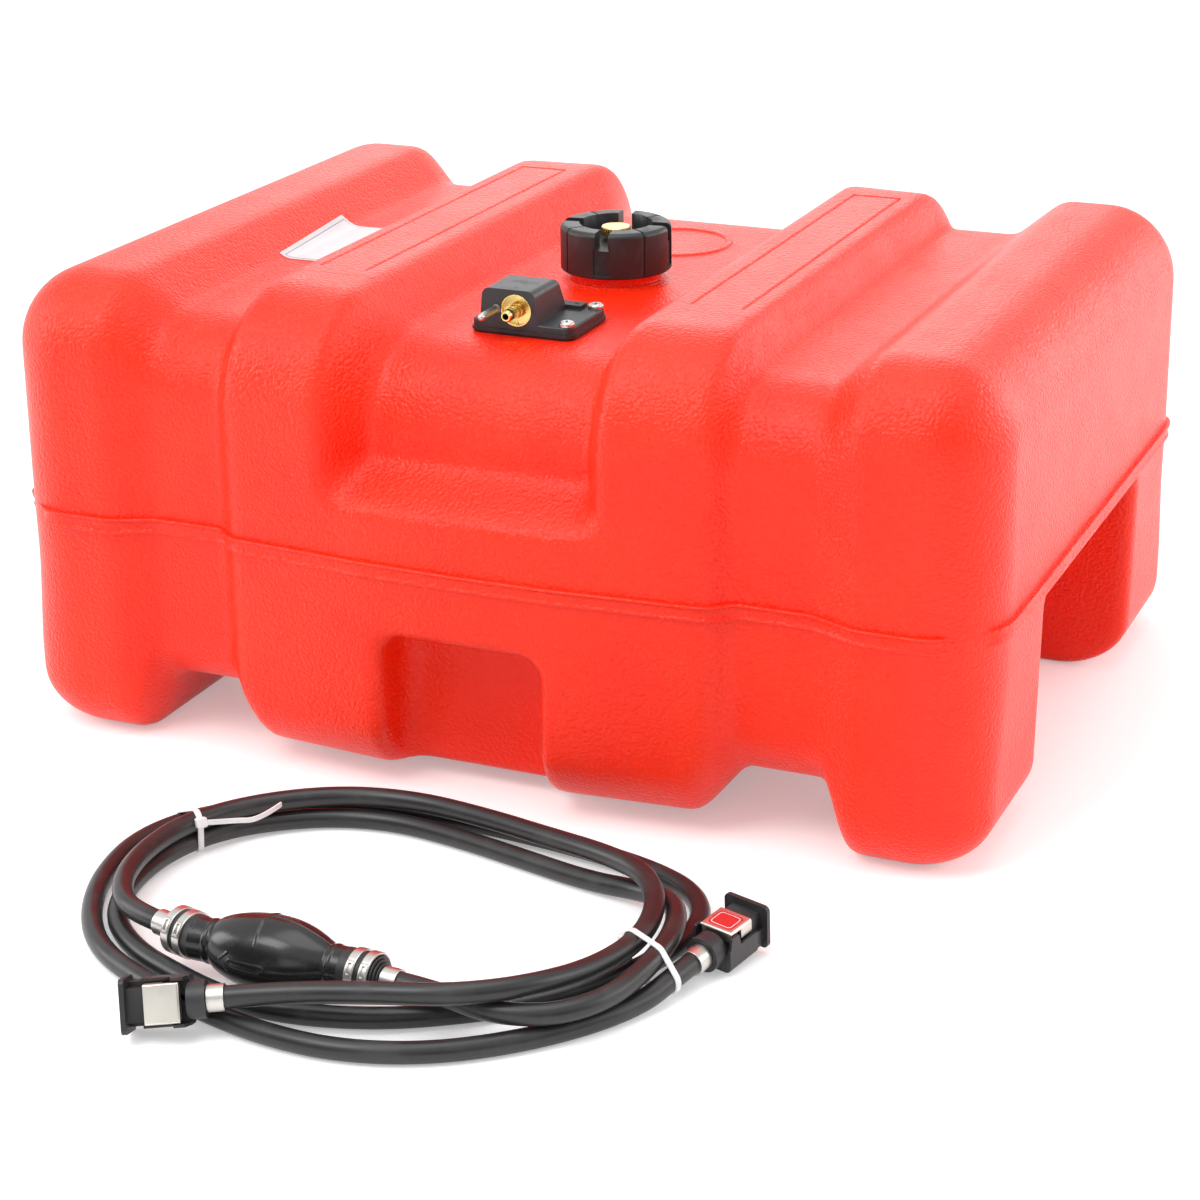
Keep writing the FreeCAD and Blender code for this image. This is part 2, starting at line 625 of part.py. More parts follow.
def filler_cap():
    """Shell with four grips round a sunken well, split by a cross of slots."""
    base, top, plate = cap_base(), cap_top(), plate_top()
    body = Part.makeCylinder(CAP_RADIUS, top - base, Vec(0, 0, base), UP)
    body = body.makeFillet(CAP_ROUND, level_edges(body, top))
    body = body.makeChamfer(CAP_FOOT_CHAMFER, level_edges(body, base))
    cuts = [Part.makeCylinder(CAP_RADIUS - CAP_SHELL, plate_under() - base, Vec(0, 0, base), UP)]
    well = Part.makeCylinder(CAP_WELL_RADIUS, CAP_GRIP_HEIGHT + 1, Vec(0, 0, plate), UP)
    cuts.append(well.makeFillet(CAP_ROUND / 2, level_edges(well, plate)))
    slot = Part.makeBox(2 * CAP_RADIUS + 2, CAP_SLOT, CAP_GRIP_HEIGHT + 1,
                        Vec(-CAP_RADIUS - 1, -CAP_SLOT / 2, plate))
    notch = Part.makeBox(CAP_RADIUS, CAP_NOTCH_WIDTH, plate - base - CAP_SHELL + 1,
                         Vec(CAP_RADIUS - CAP_NOTCH_DEPTH, -CAP_NOTCH_WIDTH / 2, base + CAP_SHELL))
    groove = Part.makeBox(CAP_RADIUS, CAP_GROOVE, CAP_GROOVE + 1,
                          Vec(CAP_WELL_RADIUS, -CAP_GROOVE / 2, top - CAP_GROOVE))
    line = Part.makeBox(CAP_RADIUS, CAP_GROOVE, top - base + 1,
                        Vec(CAP_RADIUS - CAP_GROOVE / 2, -CAP_GROOVE / 2, base - 1))
    cuts += [turned(slot, CAP_TURN), turned(slot, CAP_TURN + 90)]
    for quarter in range(4):
        middle = CAP_TURN + 45 + 90 * quarter
        cuts += [turned(notch, CAP_TURN + 90 * quarter), turned(groove, middle), turned(line, middle)]
    cuts.append(Part.makeCylinder(VENT_BUSH_RADIUS, CAP_PLATE + 2, Vec(0, 0, plate_under() - 1), UP))
    return body.cut(fuse_all(cuts))


def turned(shape, degrees):
    copy = shape.copy()
    copy.rotate(Vec(), UP, degrees)
    return copy


def cap_liner():
    """Inner cup with the thread's running bore; it closes over the gasket."""
    bore = NECK_RADIUS + THREAD_PROUD + RUNNING_FIT
    low = cap_base() + LINER_TOP
    cup = Part.makeCylinder(CAP_RADIUS - CAP_SHELL, plate_under() - low, Vec(0, 0, low), UP)
    cup = cup.cut(Part.makeCylinder(bore, plate_under() - LINER_TOP - low, Vec(0, 0, low), UP))
    return cup.cut(Part.makeCylinder(VENT_BUSH_FLANGE + PIECE_GAP, plate_under(), Vec(), UP))


def cap_gasket():
    low = neck_rim() + SEAT_GAP
    return ring(NECK_RADIUS + THREAD_PROUD, NECK_BORE, low, low + GASKET_THICKNESS)


def vent_bush():
    """Brass insert in the cap plate, with a flange under it."""
    low = plate_under()
    body = Part.makeCylinder(VENT_BUSH_RADIUS, CAP_PLATE, Vec(0, 0, low), UP)
    flange = Part.makeCylinder(VENT_BUSH_FLANGE, LINER_TOP, Vec(0, 0, low - LINER_TOP), UP)
    drilled = VENT_STEM_RADIUS + RUNNING_FIT
    return body.fuse(flange).cut(Part.makeCylinder(drilled, plate_top(), Vec(), UP))


def vent_screw():
    """Knurled brass knob on a stem that runs through the bush."""
    knob_low = plate_top() + VENT_LIFT
    knob = Part.makeCylinder(VENT_KNOB_RADIUS, VENT_KNOB_HEIGHT, Vec(0, 0, knob_low), UP)
    rims = level_edges(knob, knob_low) + level_edges(knob, knob_low + VENT_KNOB_HEIGHT)
    knob = knob.makeChamfer(KNURL_RADIUS, rims)
    flutes = []
    for k in range(KNURL_COUNT):
        angle = 2 * math.pi * k / KNURL_COUNT
        place = Vec(math.cos(angle), math.sin(angle), 0) * (VENT_KNOB_RADIUS + KNURL_RADIUS / 2)
        flutes.append(Part.makeCylinder(KNURL_RADIUS, VENT_KNOB_HEIGHT, place + UP * knob_low, UP))
    knob = knob.cut(Part.makeCompound(flutes))
    stem_low = plate_under() - LINER_TOP - VENT_STEM_OUT
    stem = Part.makeCylinder(VENT_STEM_RADIUS, knob_low - stem_low, Vec(0, 0, stem_low), UP)
    collar_low = plate_top() + ORING_THICKNESS + SEAT_GAP
    collar = Part.makeCylinder(VENT_COLLAR_RADIUS, knob_low - collar_low, Vec(0, 0, collar_low), UP)
    return knob.multiFuse([stem, collar])


def vent_oring():
    low = plate_top() + SEAT_GAP / 2
    return ring(VENT_COLLAR_RADIUS, VENT_STEM_RADIUS + RUNNING_FIT, low, low + ORING_THICKNESS)


# ------------------------------------------------------------- pickup fitting
def flange_outline(grow=0.0):
    x, y = FLANGE_HALF_LENGTH + grow, FLANGE_HALF_WIDTH + grow
    corners = [(x, -y), (x, y), (-x, y), (-x, -y)]
    return [(u, v + PICKUP_Y, FLANGE_CORNER + grow) for u, v in corners]


def pickup_gasket():
    sheet = plan_prism(flange_outline(-GASKET_INSET), FLOOR, FLOOR + PICKUP_GASKET)
    holes = [Part.makeCylinder(SPIGOT_RADIUS + PIECE_GAP, PICKUP_GASKET, Vec(0, PICKUP_Y, FLOOR), UP)]
    for x, y in screw_places():
        radius = SCREW_RADIUS + SCREW_CLEARANCE
        holes.append(Part.makeCylinder(radius, PICKUP_GASKET, Vec(x, y, FLOOR), UP))
    return sheet.cut(fuse_all(holes))


def housing_front():
    return PICKUP_Y - FLANGE_HALF_WIDTH + FLANGE_RIM


def tube_top():
    return FLOOR - SPIGOT_LENGTH + TUBE_SOCKET


def pickup_housing():
    """Screwed flange with a hollow block that turns the fuel way forwards."""
    low = FLOOR + PICKUP_GASKET
    deck = low + FLANGE_THICKNESS
    rim = low + FLANGE_RIM_HEIGHT
    flange = plan_prism(flange_outline(-FLANGE_RIM), low, deck)
    flange = flange.makeChamfer(FLANGE_CHAMFER, level_edges(flange, deck))
    front, roof = housing_front(), FLOOR + HOUSING_HEIGHT
    back_top, back = front + HOUSING_TOP_DEPTH, front + HOUSING_DEPTH
    side = [
        (front, rim - 1, 0.0),
        (back, rim - 1, 0.0),
        (back, deck, 0.0),
        (back_top, roof, 0.0),
        (front, roof, 0.0),
    ]
    across = [
        (HOUSING_LEFT, low, 0.0),
        (HOUSING_RIGHT, low, 0.0),
        (HOUSING_RIGHT - HOUSING_DRAFT, roof, 0.0),
        (HOUSING_LEFT + HOUSING_DRAFT, roof, 0.0),
    ]
    roof_block = side_prism(side, HOUSING_LEFT - 1, HOUSING_RIGHT + 1)
    roof_block = roof_block.common(front_prism(across, front - 1, back + 1))
    crown = [e for e in level_edges(roof_block, roof) if e.BoundBox.YMax > front + 1]
    roof_block = roof_block.makeFillet(HOUSING_ROUND, crown)
    spigot_low = FLOOR - SPIGOT_LENGTH
    spigot = Part.makeCylinder(SPIGOT_RADIUS, low - spigot_low + 1, Vec(0, PICKUP_Y, spigot_low), UP)
    pad_left = HOUSING_RIGHT + PAD_BESIDE - PAD_WIDTH
    pad = Part.makeBox(PAD_WIDTH, PAD_LENGTH + 1, PAD_HEIGHT + 1, Vec(pad_left, back - 1, deck - 1))
    body = plan_prism(flange_outline(), low, rim).multiFuse([flange, roof_block, spigot, pad])
    axis = FLOOR + NIPPLE_HEIGHT
    cup_floor = front + NIPPLE_CUP_DEPTH
    cup = rod(NIPPLE_CUP_RADIUS, Vec(NIPPLE_X, front - 1, axis), Vec(NIPPLE_X, cup_floor, axis))
    shank_end = cup_floor + NIPPLE_SHANK
    shank = rod(NIPPLE_SHANK_RADIUS, Vec(NIPPLE_X, front, axis), Vec(NIPPLE_X, shank_end, axis))
    fuel_way = rod(NIPPLE_BORE, Vec(NIPPLE_X, front, axis), Vec(NIPPLE_X, PICKUP_Y, axis))
    down_way = rod(NIPPLE_BORE, Vec(NIPPLE_X, PICKUP_Y, axis), Vec(NIPPLE_X, PICKUP_Y, spigot_low))
    socket = rod(TUBE_RADIUS, Vec(NIPPLE_X, PICKUP_Y, spigot_low - 1), Vec(NIPPLE_X, PICKUP_Y, tube_top()))
    pin_hole = rod(PIN_SHANK_RADIUS, Vec(PIN_X, front - 1, axis), Vec(PIN_X, front + PIN_SHANK, axis))
    pad_hole = Vec(HOUSING_RIGHT + PAD_HOLE_BESIDE, back + PAD_LENGTH / 2, deck - PAD_HEIGHT)
    cuts = [cup, shank, fuel_way, down_way, socket, pin_hole]
    cuts.append(Part.makeCylinder(PAD_HOLE, 2 * PAD_HEIGHT + 1, pad_hole, UP))
    for x, y in screw_places():
        radius = SCREW_RADIUS + SCREW_CLEARANCE
        cuts.append(Part.makeCylinder(radius, FLANGE_THICKNESS + 2, Vec(x, y, low - 1), UP))
    return body.cut(fuse_all(cuts))


def screw_reach():
    return SCREW_LENGTH - PICKUP_GASKET - FLANGE_THICKNESS


def pickup_screw(x, y):
    """Pan-head screw with a crossed slot."""
    deck = FLOOR + PICKUP_GASKET + FLANGE_THICKNESS
    head = Part.makeCylinder(SCREW_HEAD_RADIUS, SCREW_HEAD_HEIGHT, Vec(x, y, deck), UP)
    crown = [e for e in head.Edges if abs(e.BoundBox.ZMin - deck) > 1 and e.BoundBox.ZLength < 1e-6]
    head = head.makeFillet(SCREW_HEAD_ROUND, crown)
    screw = head.fuse(Part.makeCylinder(SCREW_RADIUS, SCREW_LENGTH, Vec(x, y, deck - SCREW_LENGTH), UP))
    for angle in SCREW_SLOT_ANGLES:
        corner = Vec(-SCREW_SLOT / 2, -SCREW_SLOT / 10, 0)
        slot = Part.makeBox(SCREW_SLOT, SCREW_SLOT / 5, SCREW_SLOT / 3, corner)
        slot.rotate(Vec(), UP, angle)
        slot.translate(Vec(x, y, deck + SCREW_HEAD_HEIGHT / 2))
        screw = screw.cut(slot)
    return screw


def nipple_ring_start():
    """Front end of the O-ring's groove, from the housing's front."""
    return NIPPLE_LEAD - NIPPLE_REACH


def outlet_nipple():
    """Brass connector: cup and shank in the housing, ribbed spout ahead of it."""
    start = Vec(NIPPLE_X, housing_front(), FLOOR + NIPPLE_HEIGHT)
    spout, groove, rim = NIPPLE_RADIUS, NIPPLE_RADIUS - NIPPLE_GROOVE, NIPPLE_CUP_RADIUS
    tip, lead = -NIPPLE_REACH, nipple_ring_start()
    beyond = lead + NIPPLE_RING + 2 * SEAT_GAP
    profile = [
        (tip, NIPPLE_BORE), (tip, groove), (tip + NIPPLE_LEAD / 2, spout - 2 * SEAT_GAP),
        (lead, spout - 2 * SEAT_GAP), (lead, groove), (beyond, groove), (beyond, spout),
    ]
    at = beyond + NIPPLE_PLAIN
    for proud in NIPPLE_RIBS_PROUD:
        after = at + NIPPLE_RIB
        profile += [(at, spout), (at, spout + proud), (after, spout + proud), (after, spout)]
        at = after + NIPPLE_RIB_SPACE
    back = NIPPLE_CUP_DEPTH
    profile += [
        (back - NIPPLE_CUP_FLOOR, spout), (back - NIPPLE_CUP_FLOOR, rim - NIPPLE_CUP_WALL),
        (0, rim - NIPPLE_CUP_WALL), (0, rim), (back, rim), (back, NIPPLE_SHANK_RADIUS),
        (back + NIPPLE_SHANK, NIPPLE_SHANK_RADIUS), (back + NIPPLE_SHANK, NIPPLE_BORE),
    ]
    return revolved(profile, start, Vec(0, 1, 0))


def nipple_oring():
    start = Vec(NIPPLE_X, housing_front() + nipple_ring_start() + SEAT_GAP, FLOOR + NIPPLE_HEIGHT)
    groove = NIPPLE_RADIUS - NIPPLE_GROOVE
    return tube_between(NIPPLE_RADIUS - SEAT_GAP, groove, start, start + Vec(0, NIPPLE_RING, 0))


def locator_pin():
    start = Vec(PIN_X, housing_front(), FLOOR + NIPPLE_HEIGHT)
    nose = []
    for k in range(NOSE_STEPS + 1):
        angle = math.pi / 2 * k / NOSE_STEPS
        nose.append((PIN_NOSE * (1 - math.cos(angle)) - PIN_REACH, PIN_RADIUS * math.sin(angle)))
    waist = PIN_RADIUS - PIN_RELIEF_DEPTH
    profile = nose + [
        (-PIN_RELIEF, PIN_RADIUS), (-PIN_RELIEF, waist), (0, waist), (0, PIN_SHANK_RADIUS),
        (PIN_SHANK, PIN_SHANK_RADIUS), (PIN_SHANK, 0),
    ]
    return revolved(profile, start, Vec(0, 1, 0))


def tube_end():
    return MID_FOOT_LIFT + WALL + TUBE_END_LIFT


def pickup_tube():
    top = Vec(NIPPLE_X, PICKUP_Y, tube_top())
    return tube_between(TUBE_RADIUS, TUBE_BORE, Vec(NIPPLE_X, PICKUP_Y, tube_end()), top)


def pickup_filter():
    """Closed screen cup that is pushed over the tube's lower end."""
    low = tube_end() - FILTER_BELOW
    cup = Part.makeCylinder(FILTER_RADIUS, FILTER_HEIGHT, Vec(NIPPLE_X, PICKUP_Y, low), UP)
    inside = FILTER_RADIUS - FILTER_WALL
    height = FILTER_HEIGHT - 2 * FILTER_WALL
    cup = cup.cut(Part.makeCylinder(inside, height, Vec(NIPPLE_X, PICKUP_Y, low + FILTER_WALL), UP))
    return cup.cut(Part.makeCylinder(TUBE_RADIUS, FILTER_HEIGHT, Vec(NIPPLE_X, PICKUP_Y, tube_end()), UP))


# ------------------------------------------------------------------ fuel line
def route_path(points):
    """Straight runs joined by tangent arcs, each as large as its two runs allow."""
    corners = [Vec(*p) for p in points]
    edges, radii, last = [], [], corners[0]
    for before, here, after in zip(corners, corners[1:], corners[2:]):
        d1, d2 = (here - before).normalize(), (after - here).normalize()
        turn = d1.getAngle(d2)
        reach = ARC_SHARE * min((here - before).Length, (after - here).Length)
        radii.append(reach / math.tan(turn / 2))
        start, end = here - d1 * reach, here + d2 * reach
        middle = here + (d2 - d1).normalize() * (radii[-1] / math.cos(turn / 2) - radii[-1])
        edges.append(Part.LineSegment(last, start).toShape())
        edges.append(Part.Arc(start, middle, end).toShape())
        last = end
    edges.append(Part.LineSegment(last, corners[-1]).toShape())
    return Part.Wire(edges), radii


def hose(points):
    path, radii = route_path(points)
    heading = Vec(*points[1]) - Vec(*points[0])
    circle = Part.Wire(Part.makeCircle(HOSE_RADIUS, Vec(*points[0]), heading))
    tube = path.makePipeShell([circle], True, False)
    section = math.pi * HOSE_RADIUS ** 2 * path.Length
    print("hose length %.0f volume %.0f section by length %.0f" % (path.Length, tube.Volume, section))
    print("bend radii", [round(r) for r in radii])
    return tube


def bulb_ends():
    """Where each end's hose stops, and the direction from there into the bulb."""
    return [(BULB_LEFT, Vec(BULB_LEFT_HEADING).normalize()),
            (BULB_RIGHT, Vec(BULB_RIGHT_HEADING).normalize())]


def primer_bulb():
    """Hollow squeeze bulb; its necks are drawn over the two fittings."""
    start, end = (place + heading * FITTING_LENGTH for place, heading in bulb_ends())
    length = (end - start).Length
    outer, inner = [], []
    for k in range(BULB_STEPS + 1):
        share = k / BULB_STEPS
        along = BULB_NECK + share * (length - 2 * BULB_NECK)
        swell = (BULB_RADIUS - BULB_NECK_RADIUS) * math.sin(math.pi * share) ** BULB_SWELL
        outer.append((along, BULB_NECK_RADIUS + swell))
        inner.append((along, BULB_NECK_RADIUS - BULB_WALL + swell))
    bore = BULB_NECK_RADIUS - BULB_WALL
    low, high = -BULB_LAP, length + BULB_LAP
    profile = [(low, bore), (low, BULB_NECK_RADIUS)] + outer + [(high, BULB_NECK_RADIUS), (high, bore)]
    bulb = revolved(profile + inner[::-1], start, end - start)
    for place, heading in bulb_ends():
        seat = place + heading * FITTING_LENGTH
        wide = rod(BULB_RADIUS, seat - heading * FITTING_LENGTH, seat)
        bulb = bulb.cut(wide).cut(rod(BARB_RADIUS, seat, seat + heading * BULB_NECK))
    return bulb


def bulb_fitting(start, inward):
    """Stub for the hose clamp, ribbed collar and barb that fills the bulb's neck."""
    end = FITTING_LENGTH
    barb_end = end + BULB_NECK
    chamber = VALVE_RADIUS + PIECE_GAP
    collar = CLAMP_WIDTH + 1
    profile = [
        (0, FITTING_WAY), (0, HOSE_RADIUS), (collar, HOSE_RADIUS),
        (collar, FITTING_RADIUS - FITTING_STEP), (collar + FITTING_STEP, FITTING_RADIUS),
        (end, FITTING_RADIUS), (end, BARB_RADIUS), (barb_end, BARB_RADIUS),
        (barb_end, FITTING_BORE), (end - 1, FITTING_BORE), (end - 1, chamber),
        (end - 1 - valve_room(), chamber), (end - 1 - valve_room(), FITTING_WAY),
    ]
    return revolved(profile, start, inward)


def valve_room():
    return VALVE_THICKNESS + VALVE_TRAVEL + 2 * PIECE_GAP


def check_valve(start, inward, towards_bulb):
    """Disc in its chamber; it lifts from its seat towards the flow's end."""
    high = FITTING_LENGTH - 1 - PIECE_GAP
    low = high - VALVE_THICKNESS
    if towards_bulb:
        low, high = low - VALVE_TRAVEL, high - VALVE_TRAVEL
    along = Vec(inward)
    return rod(VALVE_RADIUS, start + along * low, start + along * high)


def bulb_bands():
    """Two steel bands round each end fitting."""
    bands = []
    for start, inward in bulb_ends():
        for low in (BAND_RING_START, BAND_RING_START + BAND_RING_WIDTH + BAND_RING_SPACE):
            a, b = start + inward * low, start + inward * (low + BAND_RING_WIDTH)
            outer = FITTING_RADIUS + BAND_RING_THICKNESS
            bands.append(tube_between(outer, FITTING_RADIUS, a, b))
    return bands


def hose_clamps():
    """One crimped clamp where each hose end meets its fitting."""
    clamps = []
    places = bulb_ends() + [
        (CONNECTOR_A_TAIL, (CONNECTOR_A_NOSE - CONNECTOR_A_TAIL).normalize()),
        (CONNECTOR_B_TAIL, (CONNECTOR_B_NOSE - CONNECTOR_B_TAIL).normalize()),
    ]
    for start, inward in places:
        a, b = start + inward * CLAMP_GAP, start + inward * CLAMP_WIDTH
        clamps.append(tube_between(HOSE_RADIUS + CLAMP_THICKNESS, HOSE_RADIUS, a, b))
    return clamps


# -------------------------------------------------------------- connectors
def connector_place(tail, nose, latch):
    """Local X runs from the hose to the nose and local Z out of the latch's face."""
    x = Vec(nose - tail).normalize()
    z = (latch - x * latch.dot(x)).normalize()
    y = z.cross(x)
    matrix = FreeCAD.Matrix(x.x, y.x, z.x, tail.x, x.y, y.y, z.y, tail.y,
                            x.z, y.z, z.z, tail.z, 0, 0, 0, 1)
    return FreeCAD.Placement(matrix)


def block(x0, x1, y, z0, z1):
    return Part.makeBox(x1 - x0, 2 * y, z1 - z0, Vec(x0, -y, z0))


def along_x(radius, x0, x1, y=0.0, z=0.0):
    return Part.makeCylinder(radius, x1 - x0, Vec(x0, y, z), Vec(1, 0, 0))


def tray_start():
    return CLAMP_WIDTH + CLAMP_GAP + COLLAR_LENGTH


def tray_end():
    return tray_start() + TRAY_LENGTH


def nose_plate_start():
    return tray_end() - TRAY_RIM + NOSE_LENGTH


def nose_end():
    return nose_plate_start() + NOSE_PLATE_THICKNESS


def nose_start():
    return tray_end() - TRAY_RIM


def post_top():
    """Highest point that the pressed latch leaves free."""
    return LATCH_TOP - LATCH_THICKNESS - LATCH_TRAVEL - PIECE_GAP


def pin_side():
    return NIPPLE_SIDE + NIPPLE_X - PIN_X


def connector_tray():
    """Rounded tray with a low rim on both sides and two ears at its rear."""
    low = block(tray_start(), tray_end(), TRAY_HALF, -TRAY_DEPTH, 0)
    edges = [e for e in low.Edges if e.BoundBox.XLength > TRAY_LENGTH - 1 and e.BoundBox.ZMax < -1]
    low = low.makeFillet(TRAY_ROUND, edges)
    inside = TRAY_HALF - EAR_THICKNESS
    rim = block(tray_start(), tray_end(), TRAY_HALF, -1, TRAY_RIM)
    rim = rim.cut(block(tray_start() - 1, tray_end() + 1, inside, 0, TRAY_RIM + 1))
    slope = EAR_LENGTH / 4
    side = [
        (tray_start(), -1, 0.0), (tray_start() + EAR_LENGTH + slope, -1, 0.0),
        (tray_start() + EAR_LENGTH, EAR_HEIGHT, 1.0), (tray_start() + slope, EAR_HEIGHT, 1.0),
    ]
    ears = front_prism(side, -TRAY_HALF, TRAY_HALF)
    ears = ears.cut(block(tray_start() - 1, tray_end(), inside, 0, EAR_HEIGHT + 1))
    return [low, rim, ears]


def connector_nose_plate():
    plate = block(nose_plate_start(), nose_end(), NOSE_PLATE_HALF, -NOSE_PLATE_BELOW, NOSE_PLATE_ABOVE)
    corners = [e for e in plate.Edges if e.BoundBox.XLength > NOSE_PLATE_THICKNESS - 0.1]
    plate = plate.makeFillet(NOSE_PLATE_ROUND, corners)
    recess = block(nose_end() - NOSE_PLATE_LIP, nose_end() + 1, NOSE_PLATE_HALF - 2 * NOSE_PLATE_LIP,
                   2 * NOSE_PLATE_LIP - NOSE_PLATE_BELOW, NOSE_PLATE_ABOVE - 2 * NOSE_PLATE_LIP)
    return plate.cut(recess)


def connector_body():
    """Nose flange, socket block, latch tray, collar and hose stub."""
    pieces = connector_tray() + [connector_nose_plate()]
    pieces.append(block(tray_end(), nose_plate_start(), SOCKET_BLOCK_HALF, -SOCKET_BLOCK_DEPTH, 0))
    pieces.append(block(nose_start(), nose_plate_start(), NOSE_HALF, -1, NOSE_HEIGHT))
    pieces.append(block(nose_start() - POST_LENGTH, nose_start(), NOSE_HALF, -1, post_top()))
    pieces.append(along_x(COLLAR_RADIUS, tray_start() - COLLAR_LENGTH, tray_start() + 1))
    pieces.append(along_x(HOSE_RADIUS, 0, tray_start()))
    return pieces[0].multiFuse(pieces[1:]).cut(fuse_all(connector_ways()))


def connector_ways():
    """Fuel way, valve chamber, nipple socket, pin socket and spring pocket."""
    y, z = NIPPLE_SIDE, -SOCKET_DROP
    floor = nose_end() - SOCKET_DEPTH
    chamber = floor - plunger_room_length()
    bend = tray_start()
    slant = Part.makeCylinder(WAY_RADIUS, Vec(chamber - bend, y, z).Length, Vec(bend, 0, 0),
                              Vec(chamber - bend, y, z))
    return [
        along_x(WAY_RADIUS, -1, bend), slant,
        along_x(PLUNGER_ROOM, chamber, floor, y, z),
        along_x(SEAL_POCKET_RADIUS, floor, floor + SEAL_THICKNESS + PIECE_GAP, y, z),
        along_x(SOCKET_RADIUS, floor, nose_end() + 1, y, z),
        along_x(SOCKET_MOUTH_RADIUS, nose_end() - SOCKET_MOUTH, nose_end() + 1, y, z),
        along_x(PIN_SOCKET_RADIUS, nose_end() - PIN_SOCKET_DEPTH, nose_end() + 1, pin_side(), z),
        Part.makeCylinder(SPRING_RADIUS + PIECE_GAP, SPRING_POCKET + 1, spring_base(), UP),
    ]


def plunger_room_length():
    return PLUNGER_THICKNESS + PLUNGER_TRAVEL + 2 * PIECE_GAP


def connector_plunger():
    """Shut-off disc with a short stem that reaches into the seal."""
    y, z = NIPPLE_SIDE, -SOCKET_DROP
    front = nose_end() - SOCKET_DEPTH - PIECE_GAP
    disc = along_x(PLUNGER_RADIUS, front - PLUNGER_THICKNESS, front, y, z)
    return disc.fuse(along_x(PLUNGER_STEM, front, front + PIECE_GAP + SEAL_THICKNESS, y, z))


def spring_base():
    return Vec(nose_start() - POST_LENGTH / 2, 0, post_top() - SPRING_POCKET)


def latch_span():
    """Start and end of the latch along the connector, clear of ears and nose."""
    return tray_start() + EAR_LENGTH / 2, nose_start() - PIECE_GAP


def connector_latch():
    """Steel plate with a fold at its rear edge and a leg down each side."""
    x0, x1 = latch_span()
    under = LATCH_TOP - LATCH_THICKNESS
    whole = block(x0, x1, LATCH_HALF, LATCH_TOP - LATCH_LEG, LATCH_TOP)
    crown = [e for e in whole.Edges if abs(e.BoundBox.ZMin - LATCH_TOP) < 1e-6 and e.BoundBox.XMax < x1 - 1]
    crown += [e for e in whole.Edges if abs(e.BoundBox.ZMin - LATCH_TOP) < 1e-6 and e.BoundBox.XLength > 1]
    whole = whole.makeFillet(LATCH_ROUND, crown)
    inside = LATCH_HALF - LATCH_THICKNESS
    cuts = [block(x0 + LATCH_THICKNESS, x1 + 1, inside, LATCH_TOP - LATCH_LEG - 1, under)]
    cuts.append(block(x0 - 1, x1 - LATCH_LEG_LENGTH, LATCH_HALF + 1, LATCH_TOP - LATCH_LEG - 1, under)
                .cut(block(x0 - 1, x0 + LATCH_THICKNESS, inside, LATCH_TOP - LATCH_FOLD, under)))
    return whole.cut(fuse_all(cuts))


def latch_spring():
    """Coil under the latch, drawn as long as it is when the latch is pressed."""
    rise = SPRING_POCKET - 2 * SPRING_WIRE
    middle = SPRING_RADIUS - SPRING_WIRE
    helix = Part.makeHelix(rise / SPRING_TURNS, rise, middle)
    circle = Part.Wire(Part.makeCircle(SPRING_WIRE, Vec(middle, 0, 0), Vec(0, 1, 0)))
    coil = Part.Wire(helix).makePipeShell([circle], True, True)
    coil.translate(spring_base() + Vec(0, 0, SPRING_WIRE))
    return coil


def connector_seal():
    """Rubber ring at the bottom of the nipple socket."""
    floor = nose_end() - SOCKET_DEPTH
    y, z = NIPPLE_SIDE, -SOCKET_DROP
    disc = along_x(SEAL_POCKET_RADIUS, floor, floor + SEAL_THICKNESS, y, z)
    return disc.cut(along_x(SEAL_BORE, floor - 1, floor + SEAL_THICKNESS + 1, y, z))


# ------------------------------------------------------------------ zip ties
def strand_places(points, at, along):
    """Where a hose passes through the plane of a tie, with its heading there."""
    found = []
    line = route_path(points)[0].discretize(Distance=1.0)
    for a, b in zip(line, line[1:]):
        da, db = (a - at).dot(along), (b - at).dot(along)
        crossing = a + (b - a) * (da / (da - db)) if da * db < 0 else None
        if crossing and math.hypot(crossing.x - at.x, crossing.y - at.y) < TIE_REACH:
            found.append((crossing, (b - a).normalize()))
    return found


def tie_loop(at, along, spare):
    """Solid prism round every strand at the tie, larger than them all by spare."""
    across = UP.cross(along)
    strands = strand_places(HOSE_SHORT, at, along) + strand_places(HOSE_LONG, at, along)
    samples = []
    for place, heading in strands:
        slant = math.acos(abs(heading.dot(along)))
        wide = HOSE_RADIUS / math.cos(slant) + TIE_WIDTH / 2 * math.tan(slant) + spare
        high = HOSE_RADIUS / math.hypot(heading.x, heading.y) + spare
        for k in range(TIE_SIDES):
            angle = 2 * math.pi * k / TIE_SIDES
            u = (place - at).dot(across) + wide * math.cos(angle)
            samples.append((u, place.z + high * math.sin(angle)))
    start = at - along * (TIE_WIDTH / 2)
    points = [start + across * u + UP * v for u, v in hull(samples)]
    return Part.Face(Part.makePolygon(points + points[:1])).extrude(along * TIE_WIDTH)


def hull(points):
    """Convex hull of flat points, anticlockwise."""
    points = sorted(points)
    chains = []
    for run in (points, points[::-1]):
        chain = []
        for p in run:
            while len(chain) > 1 and bends_right(chain[-2], chain[-1], p):
                chain.pop()
            chain.append(p)
        chains.append(chain[:-1])
    return chains[0] + chains[1]


def bends_right(a, b, c):
    return (b[0] - a[0]) * (c[1] - a[1]) - (b[1] - a[1]) * (c[0] - a[0]) <= 1e-9


